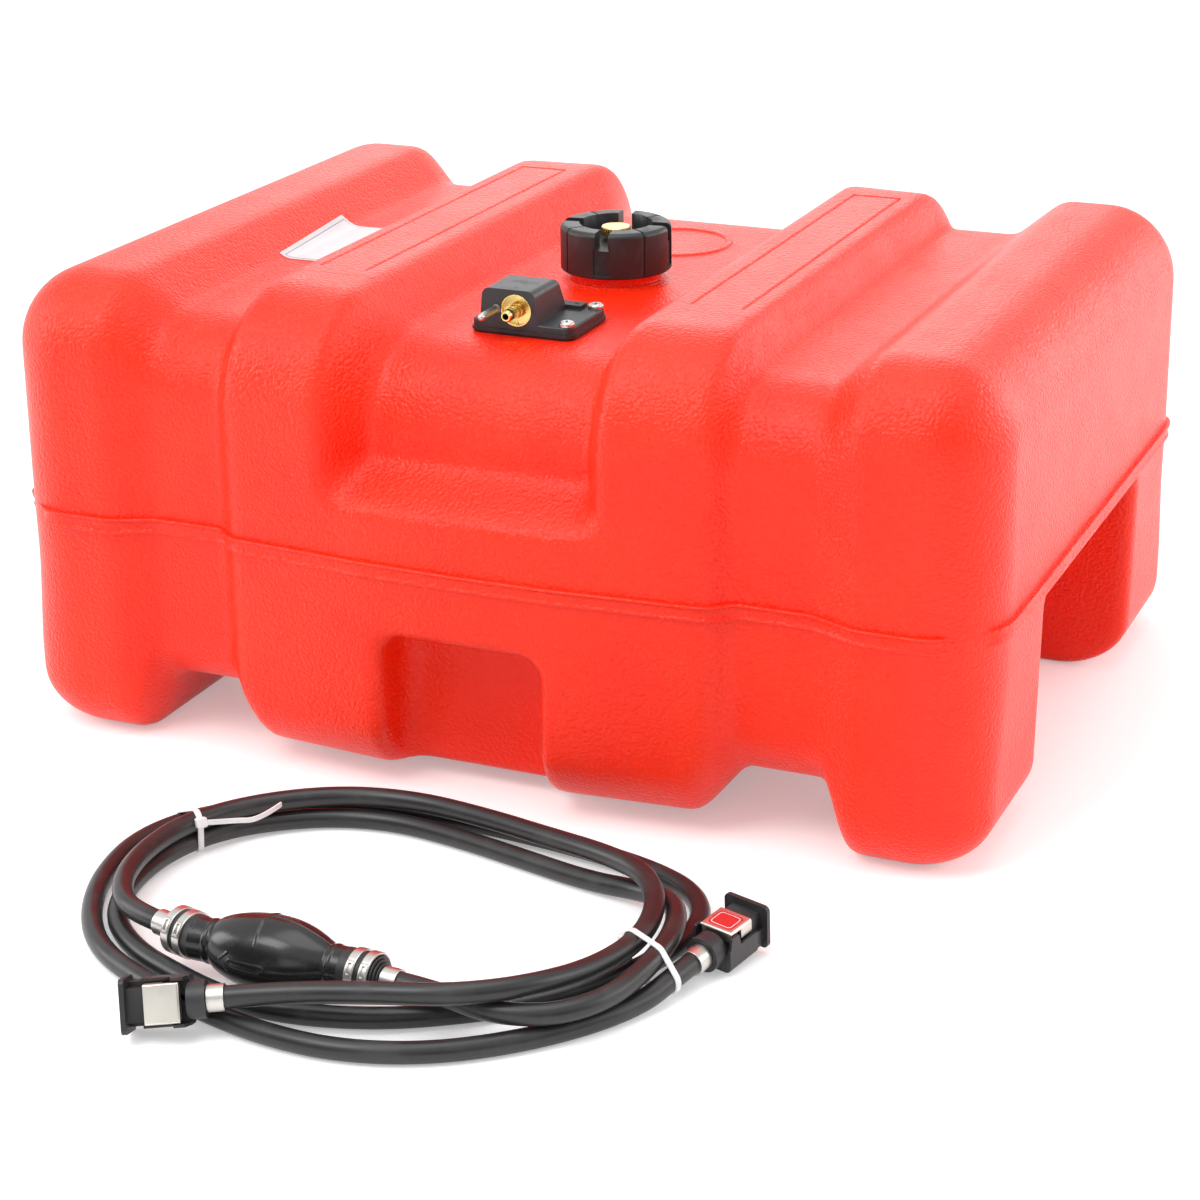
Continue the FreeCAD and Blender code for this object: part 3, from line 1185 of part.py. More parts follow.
def zip_tie(at, along, angle, tail):
    """Band drawn tight round the strands, with its head and its free tail."""
    along = Vec(along).normalize()
    across = UP.cross(along)
    hollow = tie_loop(at, along, TIE_GAP)
    band = tie_loop(at, along, TIE_GAP + TIE_THICKNESS).cut(hollow)
    out = across * math.cos(math.radians(angle)) + UP * math.sin(math.radians(angle))
    side = along.cross(out)
    upper, heading = strand_places(HOSE_SHORT, at, along)[0]
    seat = upper + out * (HOSE_RADIUS + TIE_GAP)
    box = Part.makeBox(TIE_HEAD_DEPTH, TIE_HEAD, TIE_HEAD, Vec(0, -TIE_HEAD / 2, -TIE_HEAD / 2))
    matrix = FreeCAD.Matrix(out.x, side.x, along.x, seat.x, out.y, side.y, along.y, seat.y,
                            out.z, side.z, along.z, seat.z, 0, 0, 0, 1)
    box.Placement = FreeCAD.Placement(matrix)
    pieces = [box]
    if tail:
        middle = seat + out * (TIE_HEAD_DEPTH * TIE_TAIL_SHARE)
        pieces.append(ribbon([(middle.x, middle.y, 0.0)] + tail, middle.z - TIE_WIDTH / 2))
    passage = rod(HOSE_RADIUS + TIE_GAP / 2, upper - heading * TIE_HEAD, upper + heading * TIE_HEAD)
    return band.multiFuse(pieces).cut(hollow.fuse(passage))


def ribbon(points, low):
    """Upright strip along plan points of (x, y, bend radius)."""
    half = TIE_THICKNESS / 2
    sides = {half: [], -half: []}
    for k, (x, y, radius) in enumerate(points):
        ahead = points[min(k + 1, len(points) - 1)]
        behind = points[max(k - 1, 0)]
        here = Vec(x, y, 0)
        d1 = (here - Vec(behind[0], behind[1], 0)) if k else Vec(ahead[0] - x, ahead[1] - y, 0)
        d2 = (Vec(ahead[0], ahead[1], 0) - here) if k < len(points) - 1 else d1
        d1.normalize()
        d2 = Vec(d2).normalize()
        n1, n2 = UP.cross(d1), UP.cross(d2)
        miter = (n1 + n2) * (1 / (1 + n1.dot(n2)))
        bend = d1.cross(d2).z
        for side in sides:
            place = here + miter * side
            sides[side].append((place.x, place.y, max(radius - math.copysign(side, bend * side), 0)))
    outline = sides[half] + sides[-half][::-1]
    return plan_prism(outline, low, low + TIE_WIDTH)


# ------------------------------------------------------------------ assembly
def tank_sections():
    """The one hollow moulding in six sections: above and below the seam, left, middle and right."""
    shell = tank_shell()
    side = (STRAP_INNER + END_INNER) / 2
    reach = HALF_LENGTH + BAND_PROUD + 1
    depth = MID_FRONT + BAND_PROUD + 1
    spans = {"left": (-reach, -side), "middle": (-side, side), "right": (side, reach)}
    levels = {"lower": (-1, SEAM_HEIGHT), "upper": (SEAM_HEIGHT, TANK_HEIGHT + 1)}
    found = {}
    for level, (low, high) in levels.items():
        for name, (left, right) in spans.items():
            box = Part.makeBox(right - left, 2 * depth, high - low, Vec(left, -depth, low))
            found["tank_%s_%s" % (level, name)] = shell.common(box)
    return found


def build_tank():
    for node, section in tank_sections().items():
        save(node, section)
    save("filler_cap", filler_cap())
    save("cap_liner", cap_liner())
    save("cap_gasket", cap_gasket())
    save("vent_bush", vent_bush())
    save("vent_screw", vent_screw())
    save("vent_oring", vent_oring())


def build_pickup():
    save("pickup_gasket", pickup_gasket())
    save("pickup_housing", pickup_housing())
    for number, (x, y) in enumerate(screw_places(), 1):
        save("pickup_screw_%d" % number, pickup_screw(x, y))
    save("outlet_nipple", outlet_nipple())
    save("nipple_oring", nipple_oring())
    save("locator_pin", locator_pin())
    save("pickup_tube", pickup_tube())
    save("pickup_filter", pickup_filter())


def build_fuel_line():
    save("hose_engine_side", hose(HOSE_SHORT))
    save("hose_tank_side", hose(HOSE_LONG))
    save("primer_bulb", primer_bulb())
    save("bulb_outlet_fitting", bulb_fitting(*bulb_ends()[0]))
    save("bulb_inlet_fitting", bulb_fitting(*bulb_ends()[1]))
    save("bulb_outlet_valve", check_valve(*bulb_ends()[0], False))
    save("bulb_inlet_valve", check_valve(*bulb_ends()[1], True))
    for number, band in enumerate(bulb_bands(), 1):
        save("bulb_band_%d" % number, band)
    for number, clamp in enumerate(hose_clamps(), 1):
        save("hose_clamp_%d" % number, clamp)
    save("zip_tie_left", zip_tie(TIE_LEFT_AT, TIE_LEFT_ALONG, TIE_LEFT_HEAD, TIE_LEFT_TAIL))
    save("zip_tie_right", zip_tie(TIE_RIGHT_AT, TIE_RIGHT_ALONG, TIE_RIGHT_HEAD, None))


def build_connectors():
    places = {
        "a": connector_place(CONNECTOR_A_TAIL, CONNECTOR_A_NOSE, CONNECTOR_A_LATCH),
        "b": connector_place(CONNECTOR_B_TAIL, CONNECTOR_B_NOSE, CONNECTOR_B_LATCH),
    }
    makers = {"body": connector_body, "latch": connector_latch, "spring": latch_spring,
              "seal": connector_seal, "plunger": connector_plunger}
    for name, place in places.items():
        for piece, make in makers.items():
            shape = make()
            shape.Placement = place.multiply(shape.Placement)
            save("connector_%s_%s" % (name, piece), shape)


os.makedirs("parts", exist_ok=True)
build_tank()
build_pickup()
build_fuel_line()
build_connectors()
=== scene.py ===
"""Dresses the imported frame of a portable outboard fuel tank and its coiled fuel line.

Metres, +Z up, +X along the tank's long side, +Y from its front to its back.
The tank's own dimensions are in millimetres and become metres when a mesh is made.
"""
import json
import math
import bmesh
import bpy
import numpy as np
from mathutils import Matrix, Vector


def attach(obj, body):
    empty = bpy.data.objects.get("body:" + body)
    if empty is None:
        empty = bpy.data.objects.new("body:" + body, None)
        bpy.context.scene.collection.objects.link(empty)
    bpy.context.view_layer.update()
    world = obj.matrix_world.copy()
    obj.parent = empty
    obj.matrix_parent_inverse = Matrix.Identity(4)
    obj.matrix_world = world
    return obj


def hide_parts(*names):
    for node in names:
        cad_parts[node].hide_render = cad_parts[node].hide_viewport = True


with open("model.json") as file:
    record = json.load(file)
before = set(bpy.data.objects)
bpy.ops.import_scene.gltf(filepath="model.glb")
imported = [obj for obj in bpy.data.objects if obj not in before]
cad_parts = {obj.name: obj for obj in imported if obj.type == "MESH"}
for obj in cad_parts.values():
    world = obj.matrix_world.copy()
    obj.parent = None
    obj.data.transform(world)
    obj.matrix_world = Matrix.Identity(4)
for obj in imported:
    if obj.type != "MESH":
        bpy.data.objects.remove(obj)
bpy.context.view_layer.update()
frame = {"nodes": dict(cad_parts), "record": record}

MM = 0.001

# ------------------------------------------------------------------- camera
CAMERA_PLACE = (0.6665, -1.5430, 0.7058)
CAMERA_AZIMUTH = 23.759
CAMERA_ELEVATION = 19.002
CAMERA_ROLL = -0.682
CAMERA_LENS = 84.018
CAMERA_SHIFT_Y = -0.1
SENSOR_WIDTH = 36.0


def make_camera():
    """A camera from its place, the way it faces and its roll."""
    a, e, r = (math.radians(v) for v in (CAMERA_AZIMUTH, CAMERA_ELEVATION, CAMERA_ROLL))
    back = Vector((math.sin(a) * math.cos(e), -math.cos(a) * math.cos(e), math.sin(e)))
    level = Vector((math.cos(a), math.sin(a), 0))
    rise = back.cross(level)
    right = level * math.cos(r) + rise * math.sin(r)
    up = rise * math.cos(r) - level * math.sin(r)
    data = bpy.data.cameras.new("camera")
    data.sensor_width = SENSOR_WIDTH
    data.lens = CAMERA_LENS
    data.shift_y = CAMERA_SHIFT_Y
    camera = bpy.data.objects.new("camera", data)
    bpy.context.collection.objects.link(camera)
    turn = Matrix((right, up, back)).transposed().to_4x4()
    camera.matrix_world = Matrix.Translation(CAMERA_PLACE) @ turn
    bpy.context.scene.camera = camera


make_camera()

# -------------------------------------------------------------------- hoses
HOSE_RADIUS = 5.7
HOSE_SHORT = [
    (5, -503.6, 20.4), (32.5, -491.8, 22.74), (74, -485, 28), (115, -476, 30.6), (145, -452, 29.4),
    (163, -414, 23.5), (171, -372, 20.8), (165, -335, 22.2), (147, -309, 24),
    (117, -292.5, 21.4), (78, -280, 18.4), (33, -269, 17.4), (-14, -264, 17.4),
    (-58, -275, 17.8), (-95, -306, 19), (-116, -342, 19.8), (-121, -376, 19),
    (-115, -408, 19), (-101.5, -431.5, 19.8), (-84.5, -444.3, 20.3), (-67, -448.7, 20.3),
]
HOSE_LONG = [
    (78, -458.4, 20.3), (100, -459.88, 20.3), (130, -464, 17.8), (160, -454.5, 17.8),
    (179, -428, 18.4), (185, -390, 19.7), (182, -351, 19.4), (168, -319, 15.4),
    (143, -302, 8.8), (108, -297, 5.8), (66, -287, 5.8), (20, -276.5, 5.8),
    (-26, -271, 5.8), (-68, -283, 5.8), (-104, -316, 7.5), (-121, -354, 7.5),
    (-122, -394, 5.8), (-108, -431, 5.8), (-78, -457, 5.8), (-42, -472, 5.8),
    (-3, -484, 5.8), (34, -483, 5.8), (74, -471, 5.8), (110, -449, 5.8),
    (142, -423, 5.8), (168, -391, 7.7), (181, -353, 7), (183, -317, 5.8),
    (168, -289, 5.8), (138, -273, 5.8), (95, -263, 5.8), (45, -257, 5.8),
    (-5, -255, 5.8), (-55, -261, 5.8), (-98, -281, 5.8), (-131, -314, 7.5),
    (-145, -352, 7.3), (-140, -394, 5.8), (-121, -434.5, 5.8), (-94, -464.5, 5.8),
    (-55, -484, 5.8), (-14, -497, 5.8), (27, -506, 5.8), (68, -506, 5.8),
    (109, -492, 5.8), (144, -466, 5.8), (171, -435, 5.8), (187, -407, 6.6),
    (193.4, -388.6, 10.23), (198, -371.5, 11.8),
]


def new_curve(name, points, resolution):
    """A holder with one smooth spline that has the points as its control points."""
    curve = bpy.data.curves.new(name, "CURVE")
    curve.dimensions = "3D"
    spline = curve.splines.new("NURBS")
    spline.points.add(len(points) - 1)
    spline.points.foreach_set("co", np.c_[points, np.ones(len(points))].ravel())
    spline.order_u = 3
    spline.use_endpoint_u = True
    spline.resolution_u = resolution
    return bpy.data.objects.new(name, curve)


def make_hose(name, route):
    """A round tube carried along the route's spline, in metres."""
    hose = new_curve(name, np.array(route, float) * MM, 12)
    hose.data.bevel_depth = HOSE_RADIUS * MM
    hose.data.bevel_resolution = 7
    hose.data.use_fill_caps = True
    bpy.context.collection.objects.link(hose)
    return hose


def line_of(route):
    """Points in mm that follow the route's spline, read from a copy with no bevel."""
    holder = new_curve("line", np.array(route, float), 24)
    curve = holder.data
    mesh = bpy.data.meshes.new_from_object(holder)
    points = np.empty(len(mesh.vertices) * 3)
    mesh.vertices.foreach_get("co", points)
    bpy.data.objects.remove(holder)
    bpy.data.curves.remove(curve)
    bpy.data.meshes.remove(mesh)
    return points.reshape(-1, 3)


hose_short = make_hose("hose_short", HOSE_SHORT)
hose_long = make_hose("hose_long", HOSE_LONG)
LINE_SHORT = line_of(HOSE_SHORT)
LINE_LONG = line_of(HOSE_LONG)


# ---------------------------------------------------------------- materials
class Wire:
    """One value in a node tree; arithmetic on it adds Math nodes."""

    def __init__(self, owner, socket):
        self.owner = owner
        self.socket = socket

    def math(self, operation, *values):
        return self.owner.node("ShaderNodeMath", {"operation": operation}, values)

    def __add__(self, other):
        return self.math("ADD", self, other)

    def __sub__(self, other):
        return self.math("SUBTRACT", self, other)

    def __rsub__(self, other):
        return self.math("SUBTRACT", other, self)

    def __mul__(self, other):
        return self.math("MULTIPLY", self, other)

    __radd__ = __add__
    __rmul__ = __mul__


class Nodes:
    """The cleared node tree of a material or a world."""

    def __init__(self, holder):
        holder.use_nodes = True
        self.tree = holder.node_tree
        self.tree.nodes.clear()

    def plug(self, socket, value):
        if isinstance(value, Wire):
            self.tree.links.new(value.socket, socket)
        elif socket.type == "RGBA" and len(value) == 3:
            socket.default_value = (*value, 1)
        else:
            socket.default_value = value

    def node(self, kind, settings, values, output=0):
        """Any node: its settings first, then its inputs, by name or in order."""
        made = self.tree.nodes.new(kind)
        for label, value in settings.items():
            setattr(made, label, value)
        pairs = values.items() if isinstance(values, dict) else enumerate(values)
        for label, value in pairs:
            self.plug(made.inputs[label], value)
        return Wire(self, made.outputs[output] if made.outputs else None)

    def between(self, value, low, high):
        """Smoothly 0 to 1 while value goes from low to high."""
        return self.node("ShaderNodeMapRange", {"interpolation_type": "SMOOTHSTEP"},
                         {"Value": value, "From Min": low, "From Max": high})

    def is_ray(self, *kinds):
        """1 for a ray of any of these kinds, else 0."""
        found = [self.node("ShaderNodeLightPath", {}, {}, "Is %s Ray" % kind) for kind in kinds]
        most = found[0]
        for other in found[1:]:
            most = most.math("MAXIMUM", most, other)
        return most

    def blend(self, share, first, second):
        """Shader mix: first where share is 0, second where it is 1."""
        return self.node("ShaderNodeMixShader", {}, (share, first, second))


class Finish(Nodes):
    """A procedural material built round one Principled shader."""

    def __init__(self, name, colour, roughness, **sockets):
        self.material = bpy.data.materials.new(name)
        super().__init__(self.material)
        self.shader = self.tree.nodes.new("ShaderNodeBsdfPrincipled")
        output = self.tree.nodes.new("ShaderNodeOutputMaterial")
        self.tree.links.new(self.shader.outputs[0], output.inputs["Surface"])
        self.set("Base Color", colour)
        self.set("Roughness", roughness)
        for label, value in sockets.items():
            self.set(label.replace("_", " "), value)

    def set(self, label, value):
        self.plug(self.shader.inputs[label], value)
        return self

    def place(self, scale=(1, 1, 1)):
        """Object coordinates in millimetres, stretched by scale."""
        spot = self.node("ShaderNodeTexCoord", {}, {}, "Object")
        return self.node("ShaderNodeVectorMath", {"operation": "MULTIPLY"},
                         [spot, tuple(v / MM for v in scale)])

    def noise(self, size, detail=2.0, scale=(1, 1, 1)):
        """Smooth noise from 0 to 1 with lumps of about size mm."""
        return self.node("ShaderNodeTexNoise", {}, {"Vector": self.place(scale), "Scale": 1 / size,
                                                    "Detail": detail})

    def pebbles(self, size):
        """Rounded cells of about size mm, high in their middles."""
        spread = self.node("ShaderNodeTexVoronoi", {"feature": "SMOOTH_F1"},
                           {"Vector": self.place(), "Scale": 1 / size, "Smoothness": 0.6})
        return 1 - spread

    def mix(self, share, first, second):
        """A colour between two."""
        made = self.tree.nodes.new("ShaderNodeMix")
        made.data_type = "RGBA"
        self.plug(made.inputs["Factor"], share)
        colours = [s for s in made.inputs if s.type == "RGBA"]
        self.plug(colours[0], first)
        self.plug(colours[1], second)
        return Wire(self, [s for s in made.outputs if s.type == "RGBA"][0])

    def relief(self, height, depth):
        """Bump of depth mm for a height from 0 to 1."""
        bump = self.node("ShaderNodeBump", {}, {"Height": height, "Distance": depth * MM,
                                                "Strength": 1.0})
        return self.set("Normal", bump)


def tank_plastic():
    """Red moulded polyethylene: pebbled, satin, a little cloudy in colour."""
    made = Finish("tank_plastic", (0.95, 0.024, 0.004), 0.34, Specular_IOR_Level=0.36)
    cloud = made.noise(60.0, 3.0)
    patch = made.between(made.noise(34.0, 2.0), 0.25, 0.75)
    grain = made.pebbles(1.9) * 0.9 + made.noise(1.0, 2.0) * 0.5
    made.set("Base Color", made.mix(made.between(cloud, 0.35, 0.68), (0.95, 0.027, 0.004),
                                    (0.94, 0.021, 0.003)))
    made.set("Roughness", 0.26 + patch * 0.03 + grain * 0.04)
    return made.relief(grain * (0.8 + patch * 0.2), 0.75)


def black_plastic(name, tone, grain_size, depth):
    """Black moulded plastic with a fine matt grain and greyer rubbed patches."""
    made = Finish(name, tone, 0.45, Specular_IOR_Level=0.5)
    rub = made.between(made.noise(9.0, 4.0), 0.5, 0.75)
    light = tuple(v * 1.9 + 0.004 for v in tone)
    made.set("Base Color", made.mix(rub * 0.5, tone, light))
    grain = made.pebbles(grain_size) * 0.6 + made.noise(grain_size * 0.5) * 0.6
    made.set("Roughness", 0.38 + rub * 0.12 + grain * 0.06)
    return made.relief(grain, depth)


def hose_rubber():
    """Extruded black rubber: nearly smooth, with faint dust and a low sheen."""
    made = Finish("hose_rubber", (0.022, 0.022, 0.023), 0.42, Specular_IOR_Level=0.5)
    dust = made.between(made.noise(22.0, 5.0), 0.48, 0.8)
    made.set("Base Color", made.mix(dust * 0.6, (0.018, 0.018, 0.019), (0.05, 0.049, 0.048)))
    made.set("Roughness", 0.34 + dust * 0.16)
    return made.relief(made.noise(0.7, 3.0), 0.03)


def bulb_rubber():
    """Moulded black rubber, glossier than the hoses and a little dusty."""
    made = Finish("bulb_rubber", (0.016, 0.016, 0.017), 0.3, Specular_IOR_Level=0.5)
    dust = made.between(made.noise(12.0, 4.0), 0.5, 0.8)
    made.set("Base Color", made.mix(dust * 0.5, (0.014, 0.014, 0.015), (0.04, 0.039, 0.038)))
    made.set("Roughness", 0.22 + dust * 0.15)
    return made.relief(made.noise(0.9, 3.0), 0.04)


def metal(name, colour, roughness, stretch, size, depth):
    """Metal with faint lines or dimples, and a slow change of tone from handling."""
    made = Finish(name, colour, roughness, Metallic=1.0)
    lines = made.noise(size, 2.0, stretch)
    dim = tuple(v * 0.9 for v in colour)
    made.set("Base Color", made.mix(made.between(made.noise(11.0, 2.0), 0.35, 0.8), colour, dim))
    made.set("Roughness", roughness + lines * 0.05)
    return made.relief(lines, depth)


def filter_cloth():
    """Pale woven screen: two crossed sets of fine waves."""
    made = Finish("filter_cloth", (0.72, 0.72, 0.68), 0.6)
    weave = made.node("ShaderNodeTexWave", {"bands_direction": "Z"},
                      {"Vector": made.place(), "Scale": 0.9})
    across = made.node("ShaderNodeTexWave", {"bands_direction": "DIAGONAL"},
                       {"Vector": made.place(), "Scale": 0.9})
    made.set("Base Color", made.mix(weave * across, (0.4, 0.4, 0.38), (0.78, 0.78, 0.74)))
    return made.relief(weave * across, 0.15)


def tie_nylon():
    """White nylon, faintly translucent and mottled."""
    made = Finish("tie_nylon", (0.8, 0.8, 0.8), 0.35, Specular_IOR_Level=0.5)
    made.set("Base Color", made.mix(made.noise(3.0), (0.74, 0.74, 0.75), (0.86, 0.86, 0.86)))
    return made.relief(made.noise(0.8), 0.02)


def label_paper(name, colour):
    """Coated label stock, a little uneven in tone."""
    made = Finish(name, colour, 0.32)
    dim = tuple(v * 0.9 for v in colour)
    made.set("Base Color", made.mix(made.noise(14.0, 3.0), colour, dim))
    return made.relief(made.noise(2.5), 0.03)


TANK_RED = tank_plastic()
CAP_BLACK = black_plastic("cap_black", (0.017, 0.017, 0.018), 0.8, 0.05)
FITTING_BLACK = black_plastic("fitting_black", (0.02, 0.02, 0.022), 0.6, 0.03)
GASKET_BLACK = black_plastic("gasket_black", (0.012, 0.012, 0.012), 0.5, 0.02)
HOSE_RUBBER = hose_rubber()
BULB_RUBBER = bulb_rubber()
BRASS = metal("brass_bright", (0.8, 0.58, 0.21), 0.24, (1, 1, 1), 1.6, 0.003)
STEEL = metal("steel_bright", (0.62, 0.6, 0.57), 0.32, (1, 1, 1), 1.8, 0.003)
LATCH_STEEL = metal("latch_steel", (0.68, 0.65, 0.59), 0.32, (0.15, 1, 1), 0.8, 0.003)
SPRING_COPPER = metal("spring_copper", (0.8, 0.4, 0.2), 0.25, (1, 1, 1), 1.0, 0.005)
FILTER_CLOTH = filter_cloth()
TIE_NYLON = tie_nylon()
LABEL_WHITE = label_paper("label_white", (0.66, 0.65, 0.67))
LABEL_INK = label_paper("label_ink", (0.16, 0.16, 0.2))
LABEL_RED = label_paper("label_red", (0.62, 0.03, 0.03))

FINISH_OF_SLOT = {
    "tank_red": TANK_RED, "cap_black": CAP_BLACK, "gasket_rubber": GASKET_BLACK,
    "brass": BRASS, "fitting_black": FITTING_BLACK, "filter_mesh": FILTER_CLOTH,
    "steel": STEEL, "spring_copper": SPRING_COPPER, "hose_rubber": HOSE_RUBBER,
    "tie_white": TIE_NYLON,
}
SLOT_OF = {part["node"]: part["material_slot"] for part in frame["record"]["subparts"]}
BODY_OF = {node: body for body, nodes in frame["record"]["behaviour"]["bodies"].items()
           for node in nodes}

for node, holder in frame["nodes"].items():
    holder.data.materials.clear()
    holder.data.materials.append(FINISH_OF_SLOT[SLOT_OF[node]].material)


# ------------------------------------------------------------- mesh helpers
def new_piece(name, points, faces, finish, body="tank", nodes=(), round_off=None):
    """A mesh from points in mm and faces; it rides on a body and may stand for CAD nodes."""
    faces = np.asarray(faces, np.int32)
    count, sides = faces.shape
    mesh = bpy.data.meshes.new(name)
    mesh.vertices.add(len(points))
    mesh.vertices.foreach_set("co", (np.asarray(points) * MM).astype(np.float32).ravel())
    mesh.loops.add(count * sides)
    mesh.loops.foreach_set("vertex_index", faces.ravel())
    mesh.polygons.add(count)
    mesh.polygons.foreach_set("loop_start", np.arange(0, count * sides, sides, dtype=np.int32))
    mesh.update(calc_edges=True)
    return finish_piece(name, mesh, finish, body, nodes, round_off)


def finish_piece(name, mesh, finish, body, nodes, round_off=None, angle=38):
    """Merges doubles, points faces outwards, smooths shading and may bevel sharp edges."""
    work = bmesh.new()
    work.from_mesh(mesh)
    bmesh.ops.remove_doubles(work, verts=work.verts, dist=2e-6)
    bmesh.ops.dissolve_degenerate(work, edges=work.edges, dist=1e-6)
    if round_off:
        bmesh.ops.dissolve_limit(work, angle_limit=math.radians(0.6), verts=work.verts,
                                 edges=work.edges, delimit={"NORMAL"})
    bmesh.ops.recalc_face_normals(work, faces=work.faces)
    work.to_mesh(mesh)
    work.free()
    mesh.polygons.foreach_set("use_smooth", np.ones(len(mesh.polygons), bool))
    mesh.set_sharp_from_angle(angle=math.radians(angle))
    mesh.materials.clear()
    mesh.materials.append(finish.material)
    piece = bpy.data.objects.new(name, mesh)
    bpy.context.collection.objects.link(piece)
    if round_off:
        edge = piece.modifiers.new("edge", "BEVEL")
        edge.width = round_off * MM
        edge.segments = 2
        edge.limit_method = "ANGLE"
        edge.angle_limit = math.radians(angle)
        edge.harden_normals = True
    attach(piece, body)
    if nodes:
        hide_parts(*nodes)
    return piece


def sheet_faces(rows, columns, close_rows=False, close_columns=False, first=0):
    """Quads of a grid of rows by columns points, numbered row by row from first."""
    r = np.arange(rows if close_rows else rows - 1)
    c = np.arange(columns if close_columns else columns - 1)
    r, c = np.meshgrid(r, c, indexing="ij")
    r2, c2 = (r + 1) % rows, (c + 1) % columns
    corners = [r * columns + c, r * columns + c2, r2 * columns + c2, r2 * columns + c]
    return first + np.stack([k.ravel() for k in corners], 1)


def join(*parts):
    """Several (points, faces) as one."""
    points, faces, start = [], [], 0
    for p, f in parts:
        p = np.asarray(p, float).reshape(-1, 3)
        points.append(p)
        faces.append(np.asarray(f) + start)
        start += len(p)
    return np.vstack(points), np.vstack(faces)


def turned(profile, start, along, sides=64, shape=None):
    """A profile of (distance, radius) carried round an axis; shape(angle, distance) scales it."""
    profile = np.asarray(profile, float)
    along = np.asarray(along, float) / np.linalg.norm(along)
    side = np.cross(along, (0, 0, 1.0))
    side = np.array((1.0, 0, 0)) if np.linalg.norm(side) < 1e-6 else side / np.linalg.norm(side)
    up = np.cross(side, along)
    angle = np.linspace(0, 2 * math.pi, sides, endpoint=False)
    t, radius = profile[:, :1], profile[:, 1:2] * np.ones(sides)
    if shape:
        radius = radius * shape(angle[None, :], t)
    ring = side * np.cos(angle)[:, None] + up * np.sin(angle)[:, None]
    points = np.asarray(start, float) + along * t[:, :, None] + ring[None] * radius[:, :, None]
    return points.reshape(-1, 3), sheet_faces(len(profile), sides, close_columns=True)


def dressed(node, round_off, finish=None, name=None):
    """A copy of a CAD node's mesh, merged and with its sharp edges rounded off."""
    mesh = frame["nodes"][node].data.copy()
    return finish_piece(name or node + "_skin", mesh, finish or FINISH_OF_SLOT[SLOT_OF[node]],
                        BODY_OF[node], (node,), round_off)


def eased(x, xs, ys, soft):
    """A broken line through (xs, ys) whose corners are rounded by two running means."""
    step = 0.5
    table = np.arange(-60, 420, step)
    line = np.interp(np.abs(table), xs, ys)
    width = max(int(soft / step) | 1, 1)
    window = np.ones(width) / width
    for _ in range(2):
        line = np.convolve(np.pad(line, width // 2, mode="edge"), window, mode="valid")
    return np.interp(x, table, line)


# ------------------------------------------------------------------- tank
# Half profiles over |x|, in mm.
TOP_X = (0, 66, 89, 146, 159, 206, 233, 310)
TOP_Z = (259, 259, 287, 287, 264.5, 264.5, 287, 287)
FRONT_X = (0, 60, 105, 148, 160, 207, 233, 310)
FRONT_Y = (234.5, 233.2, 229.5, 226.2, 214, 214, 226, 226)
FOOT_X = (0, 137, 159, 213, 225, 310)
FOOT_Z = (10, 10, 37, 37, 0, 0)
BEND_X = (0, 60, 95, 146, 162, 206, 233, 310)
BEND_R = (52, 52, 62, 62, 45, 45, 47, 47)
FOOT_BEND = 34.0
SIDE_BEND = 45.0
CHUTE_WALL = 200.0
CHUTE_X = (66, 90)
CHUTE_Z = (172, 200)
SEAM_Z = 141.0
SIDE_X = 307.0
SIDE_DRAFT = 3.0
ARCH = (106.0, 218.0, 136.0)      # half width, inner wall, roof
RECESS = (50.0, 198.0, 100.0)     # half width, back wall, roof
PANEL = (95.0, 142.0, -142.0, 160.0)
PANEL_SINK = 1.6
PANEL_ABOVE = 200.0               # the shell sinks for a panel only over this height
TOP_EASE = 8.0
FRONT_EASE = 7.0
BEND_EASE = 12.0
FOOT_RISE = 120.0                 # the foot's own bend takes over below this height
FOOT_RISE_RUN = 80.0
HOLLOW_BEND = 14.0
HOLLOW_BLEND = 9.0
WELL_RADIUS = 23.5
WELL_FLOOR = 236.0
GRID_LOW = (-312.3, -240.2, -4.1)
GRID_HIGH = (312.0, 240.0, 292.0)
GRID_STEP = 4.3


def smooth_step(v, low, high):
    """0 to 1 while v goes from low to high: 3 t squared less 2 t cubed."""
    t = np.clip((v - low) / (high - low), 0, 1)
    return t * t * (3 - 2 * t)


def rounded_cut(a, b, c, bend):
    """Signed size of a corner-shaped hollow a, b, c < 0, its inner edges rounded by bend."""
    u, v, w = (np.maximum(k + bend, 0) for k in (a, b, c))
    deep = np.minimum(np.maximum(np.maximum(a, b), c) + bend, 0)
    return np.sqrt(u * u + v * v + w * w) + deep - bend


def soft_max(a, b, blend):
    """The greater of two, rounded by a parabola where they differ by less than blend."""
    h = np.maximum(blend - np.abs(a - b), 0) / blend
    return np.maximum(a, b) + h * h * blend / 4


def front_face(x, z):
    """Distance of the front wall from the middle plane: ridge profile less the chute."""
    plain = eased(x, FRONT_X, FRONT_Y, FRONT_EASE)
    chute = (1 - smooth_step(x, *CHUTE_X)) * smooth_step(z, *CHUTE_Z)
    return plain - (plain - CHUTE_WALL) * chute


